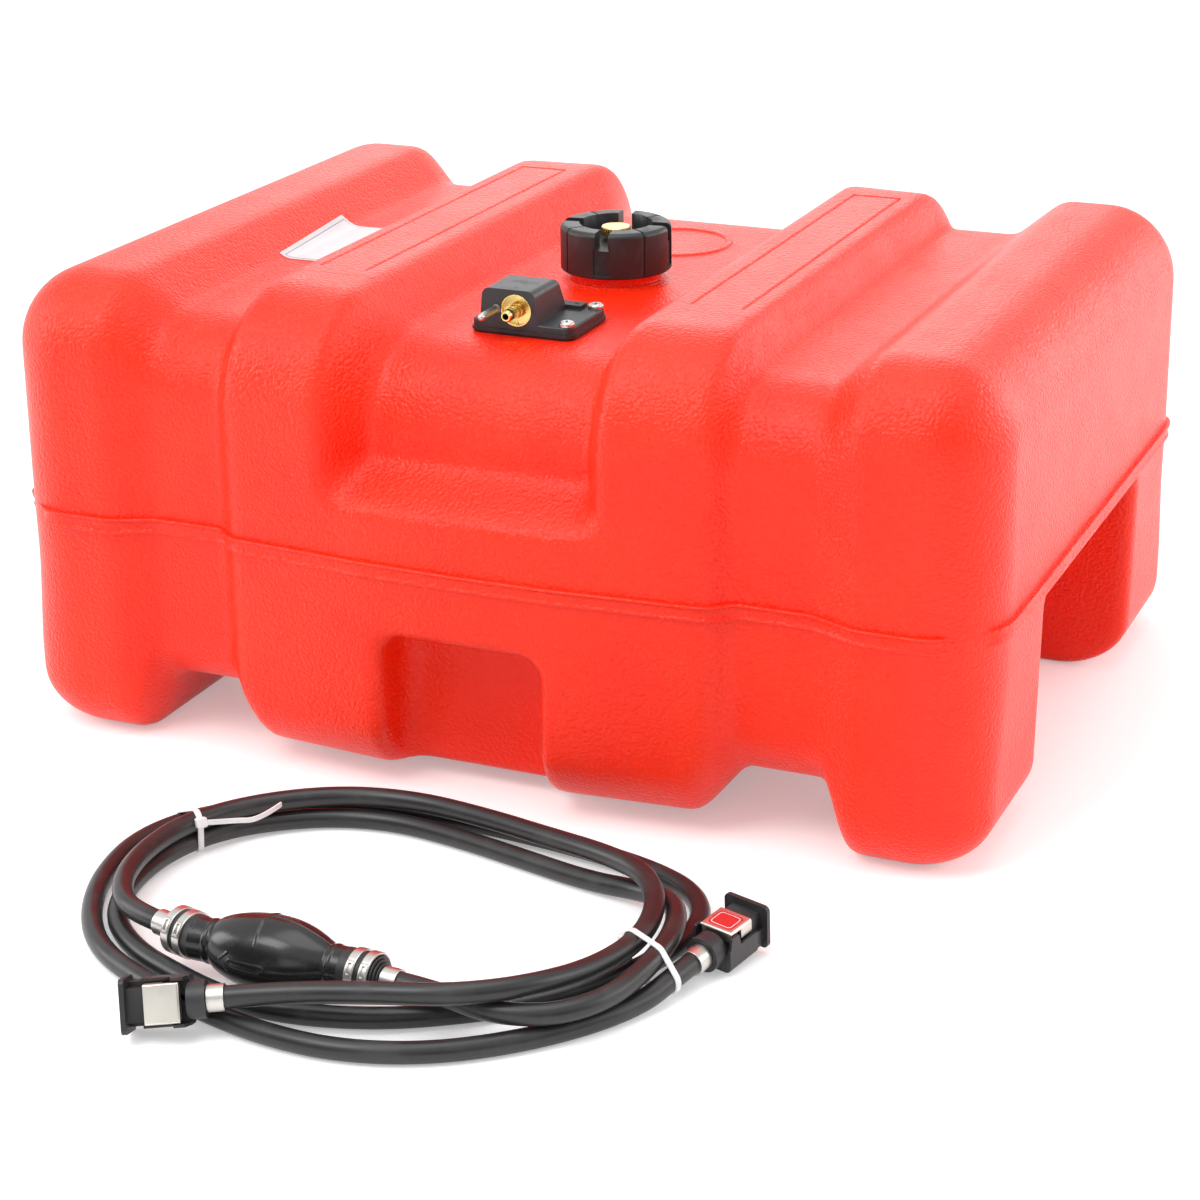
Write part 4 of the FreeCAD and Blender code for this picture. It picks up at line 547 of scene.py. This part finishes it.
def tank_value(x, y, z, hollows=True):
    """Below 0 inside the tank. Walls, top and foot meet in corners rounded to an ellipse:
    the root of the summed squares of each side's nearness, over its bend, is 1 on the skin."""
    sink = panel_sink(x, y, z) if hollows else 0
    x, y = np.abs(x), np.abs(y)
    bend = eased(x, BEND_X, BEND_R, BEND_EASE)
    low = smooth_step(FOOT_RISE - z, 0, FOOT_RISE_RUN)
    foot_bend = bend + (FOOT_BEND - bend) * low
    side = x - (SIDE_X - SIDE_DRAFT * np.clip((SEAM_Z - z) / SEAM_Z, 0, 1))
    front = y - front_face(x, z)
    top = z - eased(x, TOP_X, TOP_Z, TOP_EASE) + sink
    foot = eased(x, FOOT_X, FOOT_Z, TOP_EASE) - z
    u = np.maximum(side + SIDE_BEND, 0) / SIDE_BEND
    v = np.maximum(front + foot_bend, 0) / foot_bend
    upper = np.maximum(top + bend, 0) / bend
    lower = np.maximum(foot + FOOT_BEND, 0) / FOOT_BEND
    w = np.maximum(upper, lower)
    value = (np.sqrt(u * u + v * v + w * w) - 1) * SIDE_BEND
    if hollows:
        arch = rounded_cut(y - ARCH[0], ARCH[1] - x, z - ARCH[2], HOLLOW_BEND)
        recess = rounded_cut(x - RECESS[0], RECESS[1] - y, z - RECESS[2], HOLLOW_BEND)
        well = np.maximum(np.hypot(x, y) - WELL_RADIUS, WELL_FLOOR - z)
        value = soft_max(value, -arch, HOLLOW_BLEND)
        value = soft_max(value, -recess, HOLLOW_BLEND)
        value = np.maximum(value, -well)
    return value


def panel_sink(x, y, z):
    """The shell lies lower under each separate panel plate, from just inside the plate's rim."""
    inner, outer, near, far = PANEL
    off = np.abs(x)
    across = smooth_step(off, inner, inner + 5) * (1 - smooth_step(off, outer - 5, outer))
    along = smooth_step(y, near, near + 6) * (1 - smooth_step(y, far - 6, far))
    return PANEL_SINK * across * along * (z > PANEL_ABOVE)


def skin(value, low, high, step):
    """Quads of the surface where value is 0: one point in each grid cell that it crosses,
    at the mean of its edge crossings, joined round each crossed grid edge."""
    axes = [np.arange(a, b + step, step) for a, b in zip(low, high)]
    grid = np.meshgrid(*axes, indexing="ij")
    field = value(*grid)
    inside = field < 0
    shape = np.array(field.shape) - 1
    total = np.zeros((*shape, 3))
    count = np.zeros(shape)
    offsets = [(i, j) for i in (0, 1) for j in (0, 1)]
    for axis in range(3):
        others = [k for k in range(3) if k != axis]
        for pair in offsets:
            a = [slice(0, n) for n in shape]
            for k, o in zip(others, pair):
                a[k] = slice(o, o + shape[k])
            b = list(a)
            b[axis] = slice(1, 1 + shape[axis])
            fa, fb = field[tuple(a)], field[tuple(b)]
            crossed = inside[tuple(a)] != inside[tuple(b)]
            share = np.where(crossed, fa / np.where(crossed, fa - fb, 1), 0)
            count += crossed
            total[..., axis] += share
            for k, o in zip(others, pair):
                total[..., k] += crossed * o
    active = count > 0
    number = -np.ones(shape, np.int64)
    number[active] = np.arange(active.sum())
    cells = np.argwhere(active)
    origin = np.array([a[0] for a in axes])
    points = (cells + total[active] / count[active][:, None]) * step + origin
    faces = []
    for axis in range(3):
        others = [(axis + 1) % 3, (axis + 2) % 3]
        a = [slice(1, n) for n in shape]
        a[axis] = slice(0, shape[axis])
        b = list(a)
        b[axis] = slice(1, shape[axis] + 1)
        start, end = inside[tuple(a)], inside[tuple(b)]
        for rising in (True, False):
            at = np.argwhere(start & ~end if rising else ~start & end)
            base = at.copy()
            for k in others:
                base[:, k] += 1
            ring = []
            for i, j in ((0, 0), (1, 0), (1, 1), (0, 1)):
                cell = base.copy()
                cell[:, others[0]] -= i
                cell[:, others[1]] -= j
                ring.append(number[tuple(cell.T)])
            ring = np.stack(ring if rising else ring[::-1], 1)
            faces.append(ring)
    return points, np.vstack(faces)


def settled(points, value, rounds=3, reach=2.0):
    """Points moved along the slope of value onto the surface where it is 0."""
    for _ in range(rounds):
        x, y, z = points.T
        here = value(x, y, z)
        nudge = 0.2
        slope = np.stack([(value(x + nudge, y, z) - value(x - nudge, y, z)),
                          (value(x, y + nudge, z) - value(x, y - nudge, z)),
                          (value(x, y, z + nudge) - value(x, y, z - nudge))], 1) / (2 * nudge)
        size = np.maximum((slope ** 2).sum(1), 0.04)
        move = -slope * (here / size)[:, None]
        far = np.maximum(np.linalg.norm(move, axis=1) / reach, 1)
        points = points + move / far[:, None]
    return points


def make_tank():
    """The tank's skin: a coarse net over tank_value, drawn onto its zero surface."""
    points, faces = skin(tank_value, GRID_LOW, GRID_HIGH, GRID_STEP)
    points = settled(points, tank_value)
    sections = ["tank_%s_%s" % (level, side) for level in ("lower", "upper")
                for side in ("left", "middle", "right")]
    return new_piece("tank_skin", points, faces, TANK_RED, nodes=sections)


make_tank()

SEAM_SPOTS = 900
SEAM_FORM = ((-1.5, -4.9), (1.5, -4.8), (2.1, -4.5), (2.3, -4.0), (2.1, -3.4), (1.6, -2.9),
             (1.4, -2.0), (1.4, 1.4), (1.6, 2.1), (2.4, 2.6), (2.95, 3.2), (2.95, 3.9), (2.4, 4.5),
             (-1.5, 4.9))


def make_seam():
    """A flat band with a bead along its top, carried round the tank where it is SEAM_Z high:
    from a long rounded core, rays are halved until they meet the skin."""
    way, core = seam_rays(np.linspace(0, 1, SEAM_SPOTS, endpoint=False))
    near, far = np.zeros(SEAM_SPOTS), np.full(SEAM_SPOTS, 140.0)
    for _ in range(40):
        middle = (near + far) / 2
        spot = core + way * middle[:, None]
        out = tank_value(spot[:, 0], spot[:, 1], np.full(SEAM_SPOTS, SEAM_Z), False) > 0
        far = np.where(out, middle, far)
        near = np.where(out, near, middle)
    line = core + way * near[:, None]
    ahead = np.roll(line, -1, 0) - np.roll(line, 1, 0)
    normal = np.stack([ahead[:, 1], -ahead[:, 0]], 1)
    normal /= np.linalg.norm(normal, axis=1)[:, None]
    form = np.array(SEAM_FORM)
    points = np.zeros((SEAM_SPOTS, len(form), 3))
    points[..., :2] = line[:, None] + normal[:, None] * form[None, :, :1]
    points[..., 2] = SEAM_Z + form[None, :, 1]
    faces = sheet_faces(SEAM_SPOTS, len(form), close_rows=True, close_columns=True)
    return new_piece("seam_band", points.reshape(-1, 3), faces, TANK_RED)


def seam_rays(share):
    """Start points on a rounded core 100 mm inside the walls, and the way out from each."""
    half_x, half_y, bend = 207.0, 126.0, 50.0
    runs = [2 * (half_x - bend), 2 * (half_y - bend)]
    turn = math.pi / 2
    arc = turn * (bend + 100)
    total = 2 * sum(runs) + 4 * arc
    s = share * total
    core, way = np.zeros((len(share), 2)), np.zeros((len(share), 2))
    start, corner, heading = 0.0, np.array([-(half_x - bend), -half_y]), np.array([1.0, 0.0])
    for k in range(4):
        run = runs[k % 2]
        out = np.array([heading[1], -heading[0]])
        on = (s >= start) & (s < start + run)
        core[on] = corner + heading * (s[on] - start)[:, None]
        way[on] = out
        start += run
        corner = corner + heading * run
        on = (s >= start) & (s < start + arc)
        a = (s[on] - start)[:, None] / arc * turn
        middle = corner - out * bend
        way[on] = out * np.cos(a) + heading * np.sin(a)
        core[on] = middle + way[on] * bend
        start += arc
        corner = middle + heading * bend
        heading = -out
    return way, core


make_seam()


def make_panel(side):
    """Plate on a middle ridge at the ridge's own height. A groove runs along its two long
    edges and its back, and fades out before the front; its rim dips under the shell."""
    inner, outer, near, far = PANEL
    reach = 6.0
    x = np.linspace(inner - reach, outer + reach, 110)
    y = np.linspace(near - reach, far + reach, 320)
    gx, gy = np.meshgrid(x, y, indexing="ij")
    run = np.minimum(np.minimum(gx - inner, outer - gx), far - gy)
    groove = np.exp(-((run - 8.0) / 0.8) ** 2) * smooth_step(gy, near + 6, near + 12)
    hem = np.minimum(np.minimum(gx - x[0], x[-1] - gx), np.minimum(gy - y[0], y[-1] - gy))
    dip = 0.6 * (1 - smooth_step(hem, 0, 2.2))
    z = eased(gx, TOP_X, TOP_Z, TOP_EASE) + 0.05 - groove - dip
    points = np.stack([gx * side, gy, z], 2).reshape(-1, 3)
    name = "panel_right" if side > 0 else "panel_left"
    return new_piece(name, points, sheet_faces(len(x), len(y)), TANK_RED)


make_panel(1)
make_panel(-1)

FLOOR_Z = 259.0
RING_MIDDLE = (0, 98, 0)
RING_FORM = ((38.5, -1.5), (37.2, 0.1), (36.4, 0.8), (35.4, 1.1), (34.4, 1.1), (33.4, 0.8),
             (32.6, 0.1), (31.3, -1.5))


def make_boss_ring():
    """A low rounded bead carried round a circle on the centre channel's floor."""
    profile = [(z + FLOOR_Z, r) for r, z in RING_FORM]
    points, faces = turned(profile + profile[:1], RING_MIDDLE, (0, 0, 1), 160)
    return new_piece("boss_ring", points, faces, TANK_RED)


make_boss_ring()

NECK_FORM = [(250, 36), (258.4, 36), (259.05, 34), (259.5, 32.2), (260.2, 31), (260.8, 30.5),
             (261, 30), (261, 28.4), (261.5, 28)]
for crest in (265.0, 270.0, 275.0):
    NECK_FORM += [(crest, 28), (crest + 0.3, 28.4), (crest + 1.6, 28.4), (crest + 1.9, 28)]
NECK_FORM += [(277.6, 28), (278, 27.4), (278, 24), (277.6, 23.6), (277, 23.5), (240, 23.5),
              (240, 0.0)]


def make_neck():
    """Pedestal, threaded neck and its bore as one turned profile."""
    points, faces = turned(NECK_FORM, (0, 0, 0), (0, 0, 1), 96)
    return new_piece("filler_neck", points, faces, TANK_RED)


make_neck()

LABEL_MIDDLE = (-190.5, -4.0)
LABEL_HALF = (21.5, 45.5)
LABEL_TURN = 3.0


def make_label(name, inset, lift, finish):
    """A blank label on the left strap channel, a little askew, that follows the shell along x."""
    u = np.linspace(-1, 1, 60) * (LABEL_HALF[0] - inset)
    v = np.linspace(-1, 1, 8) * (LABEL_HALF[1] - inset)
    gu, gv = np.meshgrid(u, v, indexing="ij")
    turn = math.radians(LABEL_TURN)
    x = LABEL_MIDDLE[0] + gu * math.cos(turn) - gv * math.sin(turn)
    y = LABEL_MIDDLE[1] + gu * math.sin(turn) + gv * math.cos(turn)
    points = np.stack([x, y, eased(np.abs(x), TOP_X, TOP_Z, TOP_EASE) + lift], 2)
    return new_piece(name, points.reshape(-1, 3), sheet_faces(60, 8), finish)


make_label("label_sheet", 0.0, 0.35, LABEL_WHITE)
make_label("label_line", 2.5, 0.42, LABEL_INK)
make_label("label_field", 3.0, 0.49, LABEL_WHITE)


# ------------------------------------------------------------ dressed nodes
for node, round_off in (
        ("filler_cap", 0.9), ("vent_bush", 0.2), ("vent_screw", 0.25), ("pickup_housing", 0.55),
        ("outlet_nipple", 0.12), ("pickup_gasket", 0.3), ("locator_pin", 0.15),
        ("connector_a_body", 0.45), ("connector_b_body", 0.45)):
    dressed(node, round_off)
for node in ("connector_a_latch", "connector_b_latch"):
    dressed(node, 0.3, LATCH_STEEL)
for number in range(1, 4):
    dressed("pickup_screw_%d" % number, 0.2)
for number in range(1, 5):
    dressed("hose_clamp_%d" % number, 0.25)

# -------------------------------------------------------------- primer bulb
BULB_ENDS = (((-67, -448.7, 20.3), (0.97, -0.243, 0)), ((78, -458.4, 20.3), (-0.9977, 0.067, 0)))
FITTING_LENGTH = 31.6
BULB_RADIUS = 20.1
BULB_NECK_RADIUS = 11.4
BULB_NECK = 9.0
BULB_SWELL = 0.62
BULB_TAPER = 0.25            # the inlet half is slimmer towards its neck
BULB_LAP = 3.5
BULB_BORE = 8.0
ARROW_TIP = 19.0             # along the bulb from its outlet end
ARROW_TURN = 4.0             # degrees above the horizontal
ARROW_HEAD = 5.2
ARROW_SHAFT = (7.5, 25.5, 1.7)
PARTING_LINES = ((96, 0.46, 0.9), (186, 0.12, 0.88), (276, 0.12, 0.88))
BOW = 3.0
EMBOSS = 0.5
EMBOSS_HALF = 0.55


def off_segment(u, v, start, end):
    """Distance in the plane from (u, v) to a straight stroke."""
    du, dv = end[0] - start[0], end[1] - start[1]
    t = np.clip(((u - start[0]) * du + (v - start[1]) * dv) / (du * du + dv * dv), 0, 1)
    return np.hypot(u - start[0] - t * du, v - start[1] - t * dv)


def bulb_relief(along, around, length):
    """Height of the moulded lines: a flow arrow's outline, three parting lines along the bulb
    and a bowed one across its top. Each is a bell curve over the distance to its stroke."""
    tilt = (around - math.radians(ARROW_TURN) + math.pi) % (2 * math.pi) - math.pi
    u, v = along - ARROW_TIP, tilt * BULB_RADIUS
    shaft = off_segment(u, v, (ARROW_SHAFT[0], 0), (ARROW_SHAFT[1], 0))
    strokes = [off_segment(u, v, (0, 0), (ARROW_HEAD, ARROW_HEAD)),
               off_segment(u, v, (0, 0), (ARROW_HEAD, -ARROW_HEAD)),
               np.abs(shaft - ARROW_SHAFT[2])]
    middle = length / 2
    for turn, low, high in PARTING_LINES:
        near = (around - math.radians(turn) + math.pi) % (2 * math.pi) - math.pi
        ends = (low * length, 0), (high * length, 0)
        strokes.append(off_segment(along, near * BULB_RADIUS, *ends))
    bow = BOW * np.sin(np.clip(np.abs(tilt) / math.pi, 0, 1) * math.pi)
    upper = smooth_step(np.sin(around), 0.35, 0.6)
    strokes.append(np.abs(along - middle + bow) + 4 * (1 - upper))
    closest = np.min(strokes, axis=0)
    return EMBOSS * np.exp(-(closest / EMBOSS_HALF) ** 2)


def make_bulb():
    """Neck, swell and neck as one turned skin: the swell is a sine of the share along it,
    raised to BULB_SWELL, with the moulded lines on top; the angle runs from the front up."""
    start, end = (np.array(place, float) + np.array(heading) * FITTING_LENGTH
                  for place, heading in BULB_ENDS)
    length = float(np.linalg.norm(end - start))
    along = (end - start) / length
    up = np.array((0, 0, 1.0))
    front = -np.cross(up, along)
    t = np.linspace(-BULB_LAP, length + BULB_LAP, 230)
    angle = np.linspace(0, 2 * math.pi, 260, endpoint=False)
    gt, ga = np.meshgrid(t, angle, indexing="ij")
    share = np.clip((gt - BULB_NECK) / (length - 2 * BULB_NECK), 0, 1)
    blunt = BULB_SWELL + BULB_TAPER * smooth_step(share, 0.5, 1)
    swell = (BULB_RADIUS - BULB_NECK_RADIUS) * np.sin(math.pi * share) ** blunt
    cuff = 0.5 * smooth_step(gt, 4.5, 5.5) * (1 - smooth_step(gt, 6.5, 8))
    cuff = cuff + 0.5 * smooth_step(length - gt, 4.5, 5.5) * (1 - smooth_step(length - gt, 6.5, 8))
    flat = 0.15 * np.cos(8 * ga) * np.sin(math.pi * share)
    radius = BULB_NECK_RADIUS + swell + cuff + flat + bulb_relief(gt, ga, length)
    radius = np.minimum(radius, BULB_RADIUS + 0.7)
    ring = front * np.cos(ga)[..., None] + up * np.sin(ga)[..., None]
    skin_points = (start + along * gt[..., None] + ring * radius[..., None]).reshape(-1, 3)
    parts = [(skin_points, sheet_faces(len(t), len(angle), close_columns=True))]
    for rim in (0, len(t) - 1):
        edge = skin_points.reshape(len(t), len(angle), 3)[rim]
        bore = start + along * t[rim] + ring[0] * BULB_BORE
        parts.append((np.vstack([edge, bore]), sheet_faces(2, len(angle), close_columns=True)))
    points, faces = join(*parts)
    return new_piece("primer_bulb_skin", points, faces, BULB_RUBBER, nodes=("primer_bulb",))


make_bulb()

# ----------------------------------------------------------------- zip ties
TIE_WIDTH = 3.4
TIE_THICKNESS = 1.0
TIE_GAP = 0.15
TIE_REACH = 45.0
TIE_FLOOR = 0.15
TIE_HEAD = (6.4, 5.6, 4.2)       # along the hose, round it and outwards
BLOCK_ROOT = 0.3
BLOCK_LOOPS = ((0, 0), (0, 0.92), (0.06, 1), (0.85, 1), (0.97, 0.93), (1, 0.8), (1, 0))
TIES = {
    "zip_tie_left": ((-118, -333), (0.64, 0.77), 165.0,
                     [(-98, -338, 4.0), (-90.4, -333.1, 6.0), (-78.4, -327.4, 2.5), (-77, -305, 0.0)]),
    "zip_tie_right": ((180, -382), (0.42, 0.91), -10.0, []),
}


def strands_at(line, place, along):
    """Where a hose's line crosses the tie's plane near its middle, and its heading there."""
    side = (line[:, :2] - place) @ along
    found = []
    for k in np.flatnonzero(side[:-1] * side[1:] < 0):
        spot = line[k] + (line[k + 1] - line[k]) * (side[k] / (side[k] - side[k + 1]))
        if np.hypot(*(spot[:2] - place)) < TIE_REACH:
            way = line[k + 1] - line[k]
            found.append((spot, way / np.linalg.norm(way)))
    return found


def rounded_block(base, axes, size):
    """Loops of an oblong, each coordinate a signed root of a cosine or sine, stacked along the
    third axis and drawn in a little at both ends."""
    angle = np.linspace(0, 2 * math.pi, 40, endpoint=False)
    c, s = np.cos(angle), np.sin(angle)
    u, v = (np.sign(k) * np.abs(k) ** BLOCK_ROOT / 2 for k in (c, s))
    points = [base + axes[0] * (size[0] * wide * u)[:, None]
              + axes[1] * (size[1] * wide * v)[:, None] + axes[2] * size[2] * high
              for high, wide in BLOCK_LOOPS]
    return np.vstack(points), sheet_faces(len(points), len(angle), close_columns=True)


def upright_strip(line, half_thick, half_wide):
    """A thin oblong on its edge, carried level along a line."""
    ahead = np.gradient(line[:, :2], axis=0)
    ahead /= np.linalg.norm(ahead, axis=1)[:, None]
    side = np.c_[-ahead[:, 1], ahead[:, 0], np.zeros(len(line))]
    form = ((-half_thick, -half_wide), (half_thick, -half_wide), (half_thick, half_wide),
            (-half_thick, half_wide))
    points = np.stack([line + side * a + np.array((0, 0, b)) for a, b in form], 1)
    last = 4 * (len(line) - 1)
    ends = np.array([[0, 1, 2, 3], [last, last + 1, last + 2, last + 3]])
    faces = np.vstack([sheet_faces(len(line), 4, close_columns=True), ends])
    return points.reshape(-1, 3), faces


def make_tie(node):
    """A flat band drawn tight: in the tie's plane it passes, in every direction, the furthest
    point of the strands' ovals. Its head is a rounded block and its free tail a thin strip."""
    place, along, head_turn, tail = TIES[node]
    place, along = np.array(place, float), np.array(along) / math.hypot(*along)
    across = np.array((-along[1], along[0]))
    upper = strands_at(LINE_SHORT, place, along)
    angle = np.linspace(0, 2 * math.pi, 96, endpoint=False)
    out = np.stack([np.cos(angle), np.sin(angle)], 1)
    ovals = [np.array(((spot[:2] - place) @ across, spot[2]))
             + out * (HOSE_RADIUS / abs(way[:2] @ along), HOSE_RADIUS)
             for spot, way in upper + strands_at(LINE_LONG, place, along)]
    ovals = np.vstack(ovals)
    furthest = ovals[np.argmax(ovals @ out.T, axis=0)]
    low, high, half = TIE_GAP, TIE_GAP + TIE_THICKNESS, TIE_WIDTH / 2
    form = np.array(((low, -half), (low, half), (high - 0.4, half), (high, half - 0.4),
                     (high, 0.4 - half), (high - 0.4, -half)))
    loop = furthest[:, None] + out[:, None] * form[None, :, :1]
    plan = place + across * loop[..., :1] + along * form[None, :, 1:]
    band = np.concatenate([plan, np.maximum(loop[..., 1:], TIE_FLOOR)], 2)
    parts = [(band, sheet_faces(len(angle), len(form), close_rows=True, close_columns=True))]
    turn = math.radians(head_turn)
    outward = np.array((*(across * math.cos(turn)), math.sin(turn)))
    ahead = np.array((*along, 0.0))
    seat = upper[0][0] + outward * (HOSE_RADIUS + TIE_GAP)
    parts.append(rounded_block(seat, (ahead, np.cross(ahead, outward), outward), TIE_HEAD))
    if tail:
        start = seat + outward * TIE_HEAD[2] / 2
        route = [start] + [np.array((x, y, start[2])) for x, y, _ in tail]
        parts.append(upright_strip(line_of(route), TIE_THICKNESS / 2, TIE_WIDTH / 2 - 0.3))
    points, faces = join(*parts)
    return new_piece(node + "_skin", points, faces, TIE_NYLON, nodes=(node,))


for node in TIES:
    make_tie(node)

# ----------------------------------------------------------- bulb fittings
FITTING_RADIUS = 11.6
FITTING_RIB_START = 9.3      # from the hose's end
FITTING_RIB_STEP = 1.23
FITTING_RIBS = (8.2, 9.7, 11.1)


def make_fitting(node, place, heading):
    """Stub, a cone of three ribs, a plain collar and its end face as one turned profile."""
    profile = [(0, 0), (0, HOSE_RADIUS), (FITTING_RIB_START, HOSE_RADIUS)]
    for k, radius in enumerate(FITTING_RIBS):
        low = FITTING_RIB_START + k * FITTING_RIB_STEP
        profile += [(low, radius - 0.5), (low + 0.12, radius - 0.1), (low + 0.35, radius),
                    (low + 0.65, radius), (low + 0.85, radius - 0.15), (low + 0.9, radius - 0.9),
                    (low + 1.2, radius - 0.9)]
    profile += [(13.0, FITTING_RADIUS - 0.25), (13.25, FITTING_RADIUS)]
    profile += [(FITTING_LENGTH - 0.3, FITTING_RADIUS), (FITTING_LENGTH, FITTING_RADIUS - 0.3),
                (FITTING_LENGTH, 0)]
    points, faces = turned(profile, place, heading, 120)
    return new_piece(node + "_skin", points, faces, FITTING_BLACK, nodes=(node,))


for node, (place, heading) in zip(("bulb_outlet_fitting", "bulb_inlet_fitting"), BULB_ENDS):
    make_fitting(node, place, heading)

# -------------------------------------------------------------- bulb bands
BAND_STARTS = (13.0, 21.0)
BAND_WIDTH = 5.0
BAND_RADIUS = 12.7
CLASP_TURN = 35.0            # degrees above the horizontal at the front
CLASP_HALF = (0.34, 1.5)     # radians round the band, mm along it


def make_bands():
    """Two bands at each end of the bulb."""
    spots = [(place, heading, low) for place, heading in BULB_ENDS for low in BAND_STARTS]
    for number, (place, heading, low) in enumerate(spots, 1):
        make_band("bulb_band_%d" % number, np.array(place) + np.array(heading) * low, heading)


def make_band(node, start, heading):
    """A flat band with rounded edges. Round a slotted clasp it stands prouder: the lift is a
    product of soft steps in the angle and along the band, less the slot's own."""
    half = BAND_WIDTH / 2
    edge = np.array(((0, FITTING_RADIUS + 0.02), (0, BAND_RADIUS - 0.35), (0.12, BAND_RADIUS - 0.1),
                     (0.35, BAND_RADIUS)))
    middle = np.stack([np.linspace(0.6, BAND_WIDTH - 0.6, 16), np.full(16, BAND_RADIUS)], 1)
    far = edge[::-1] * (-1, 1) + (BAND_WIDTH, 0)
    profile = np.vstack([edge, middle, far, edge[:1]])
    level = np.cross(heading, (0, 0, 1.0))
    front = math.copysign(1, level @ np.array((0, -1.0, 0)))
    aim = math.radians(CLASP_TURN) * front + (0 if front > 0 else math.pi)

    def clasp(angle, along):
        turn = np.abs((angle - aim + math.pi) % (2 * math.pi) - math.pi)
        off = np.abs(along - half)
        lift = (1 - smooth_step(turn, CLASP_HALF[0] - 0.04, CLASP_HALF[0])) * (off < 2.1)
        slot = (1 - smooth_step(turn, 0.2, 0.24)) * (1 - smooth_step(off, 0.5, 0.8))
        return 1 + (0.5 * lift - 0.9 * slot) / BAND_RADIUS

    points, faces = turned(profile, start, heading, 200, clasp)
    return new_piece(node + "_skin", points, faces, STEEL, nodes=(node,))


make_bands()

# ------------------------------------------------------- connector's sticker
CONNECTOR_B = ((198.0, -371.5, 11.8), (210.6, -324.6, 16.1), (0.04, 0.0, 1.0))
STICKER_MIDDLE = (30.2, 0.0, 10.0)         # along the connector, across it, on the latch
STICKER_HALF = (6.6, 7.6)


def make_sticker(name, inset, lift, finish):
    """A small oblong with rounded corners on the latch: loops of a rounded oblong, each drawn
    in towards the middle and closed under its rim."""
    tail, nose, face = (np.array(v) for v in CONNECTOR_B)
    ahead = (nose - tail) / np.linalg.norm(nose - tail)
    rise = face - ahead * (face @ ahead)
    rise /= np.linalg.norm(rise)
    axes = (ahead, np.cross(rise, ahead), rise)
    base = tail + sum(a * v for a, v in zip(axes, STICKER_MIDDLE))
    size = (2 * (STICKER_HALF[0] - inset), 2 * (STICKER_HALF[1] - inset), lift)
    points, faces = rounded_block(base, axes, size)
    return new_piece(name, points, faces, finish, BODY_OF["connector_b_latch"])


make_sticker("sticker_sheet", 0.0, 0.08, LABEL_RED)
make_sticker("sticker_line", 1.1, 0.12, LABEL_WHITE)
make_sticker("sticker_field", 1.6, 0.16, LABEL_RED)

# -------------------------------------------------------------- cords again
for hose, node in ((hose_short, "hose_engine_side"), (hose_long, "hose_tank_side")):
    hose.data.materials.append(HOSE_RUBBER.material)
    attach(hose, "tank")
    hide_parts(node)


# ----------------------------------------------------------- floor and light
FLOOR_HALF = 9.0
FLOOR_TONE = (0.86, 0.86, 0.86)
FLOOR_GLOW = 0.32            # seen by camera, mirror and glass only
WORLD_LIGHT = 0.74
FRONT_DIM = 0.97             # how much darker a mirror sees the room low down in front
LAMP_AIM = (0, -0.1, 0.1)
LAMPS = (
    ("top", (0.2, -0.2, 2.5), 1.6, 16),
    ("front_top", (-0.6, -1.5, 2.1), 1.2, 24),
    ("front_low", (0.3, -2.6, 0.35), 0.9, 4),
    ("left", (-2.4, -1.0, 0.9), 1.2, 22),
    ("right", (2.6, 0.4, 1.2), 1.2, 15),
    ("back", (-1.0, 2.6, 1.3), 1.6, 10),
    ("back_right", (1.7, 2.2, 0.8), 1.2, 18),
)


def make_floor():
    """Pale paper that takes the shadow. Only what is looked at has its glow added."""
    k = FLOOR_HALF
    mesh = bpy.data.meshes.new("floor")
    mesh.from_pydata([(-k, -k, 0), (k, -k, 0), (k, k, 0), (-k, k, 0)], [], [(0, 1, 2, 3)])
    floor = bpy.data.objects.new("floor", mesh)
    bpy.context.collection.objects.link(floor)
    material = bpy.data.materials.new("floor_paper")
    nodes = Nodes(material)
    paper = nodes.node("ShaderNodeBsdfDiffuse", {}, {"Color": FLOOR_TONE})
    glow = nodes.node("ShaderNodeEmission", {}, {"Strength": FLOOR_GLOW})
    seen = nodes.node("ShaderNodeAddShader", {}, (paper, glow))
    surface = nodes.blend(nodes.is_ray("Camera", "Glossy", "Transmission"), paper, seen)
    nodes.node("ShaderNodeOutputMaterial", {}, {"Surface": surface})
    mesh.materials.append(material)


def room_strength(nodes):
    """Strength of the room by direction: 1 all round, but dimmer low down at the front."""
    shares = []
    for axis, low, high in ((1, 0.05, -0.45), (2, 0.6, 0.3)):
        spot = nodes.node("ShaderNodeTexCoord", {}, {}, "Generated")
        way = nodes.node("ShaderNodeSeparateXYZ", {}, (spot,), axis)
        shares.append(nodes.between(way, low, high))
    return 1 - shares[0] * shares[1] * FRONT_DIM


def make_world():
    """White where the camera looks; mirrors and the object's light see the room."""
    world = bpy.data.worlds.new("studio")
    nodes = Nodes(world)
    white, room, plain = (
        nodes.node("ShaderNodeBackground", {}, {"Color": (1, 1, 1), "Strength": strength})
        for strength in (1.0, room_strength(nodes), WORLD_LIGHT))
    mirrored = nodes.blend(nodes.is_ray("Glossy"), plain, room)
    seen = nodes.blend(nodes.is_ray("Camera", "Transmission"), mirrored, white)
    nodes.node("ShaderNodeOutputWorld", {}, {"Surface": seen})
    bpy.context.scene.world = world


def make_lamps():
    """Square area lamps, all turned to one point in front of the tank."""
    for name, place, size, power in LAMPS:
        data = bpy.data.lights.new(name, "AREA")
        data.size = size
        data.energy = power
        lamp = bpy.data.objects.new(name, data)
        bpy.context.collection.objects.link(lamp)
        turn = (Vector(LAMP_AIM) - Vector(place)).to_track_quat("-Z", "Y").to_matrix().to_4x4()
        lamp.matrix_world = Matrix.Translation(place) @ turn


make_floor()
make_world()
make_lamps()
bpy.context.scene.view_settings.view_transform = "Standard"
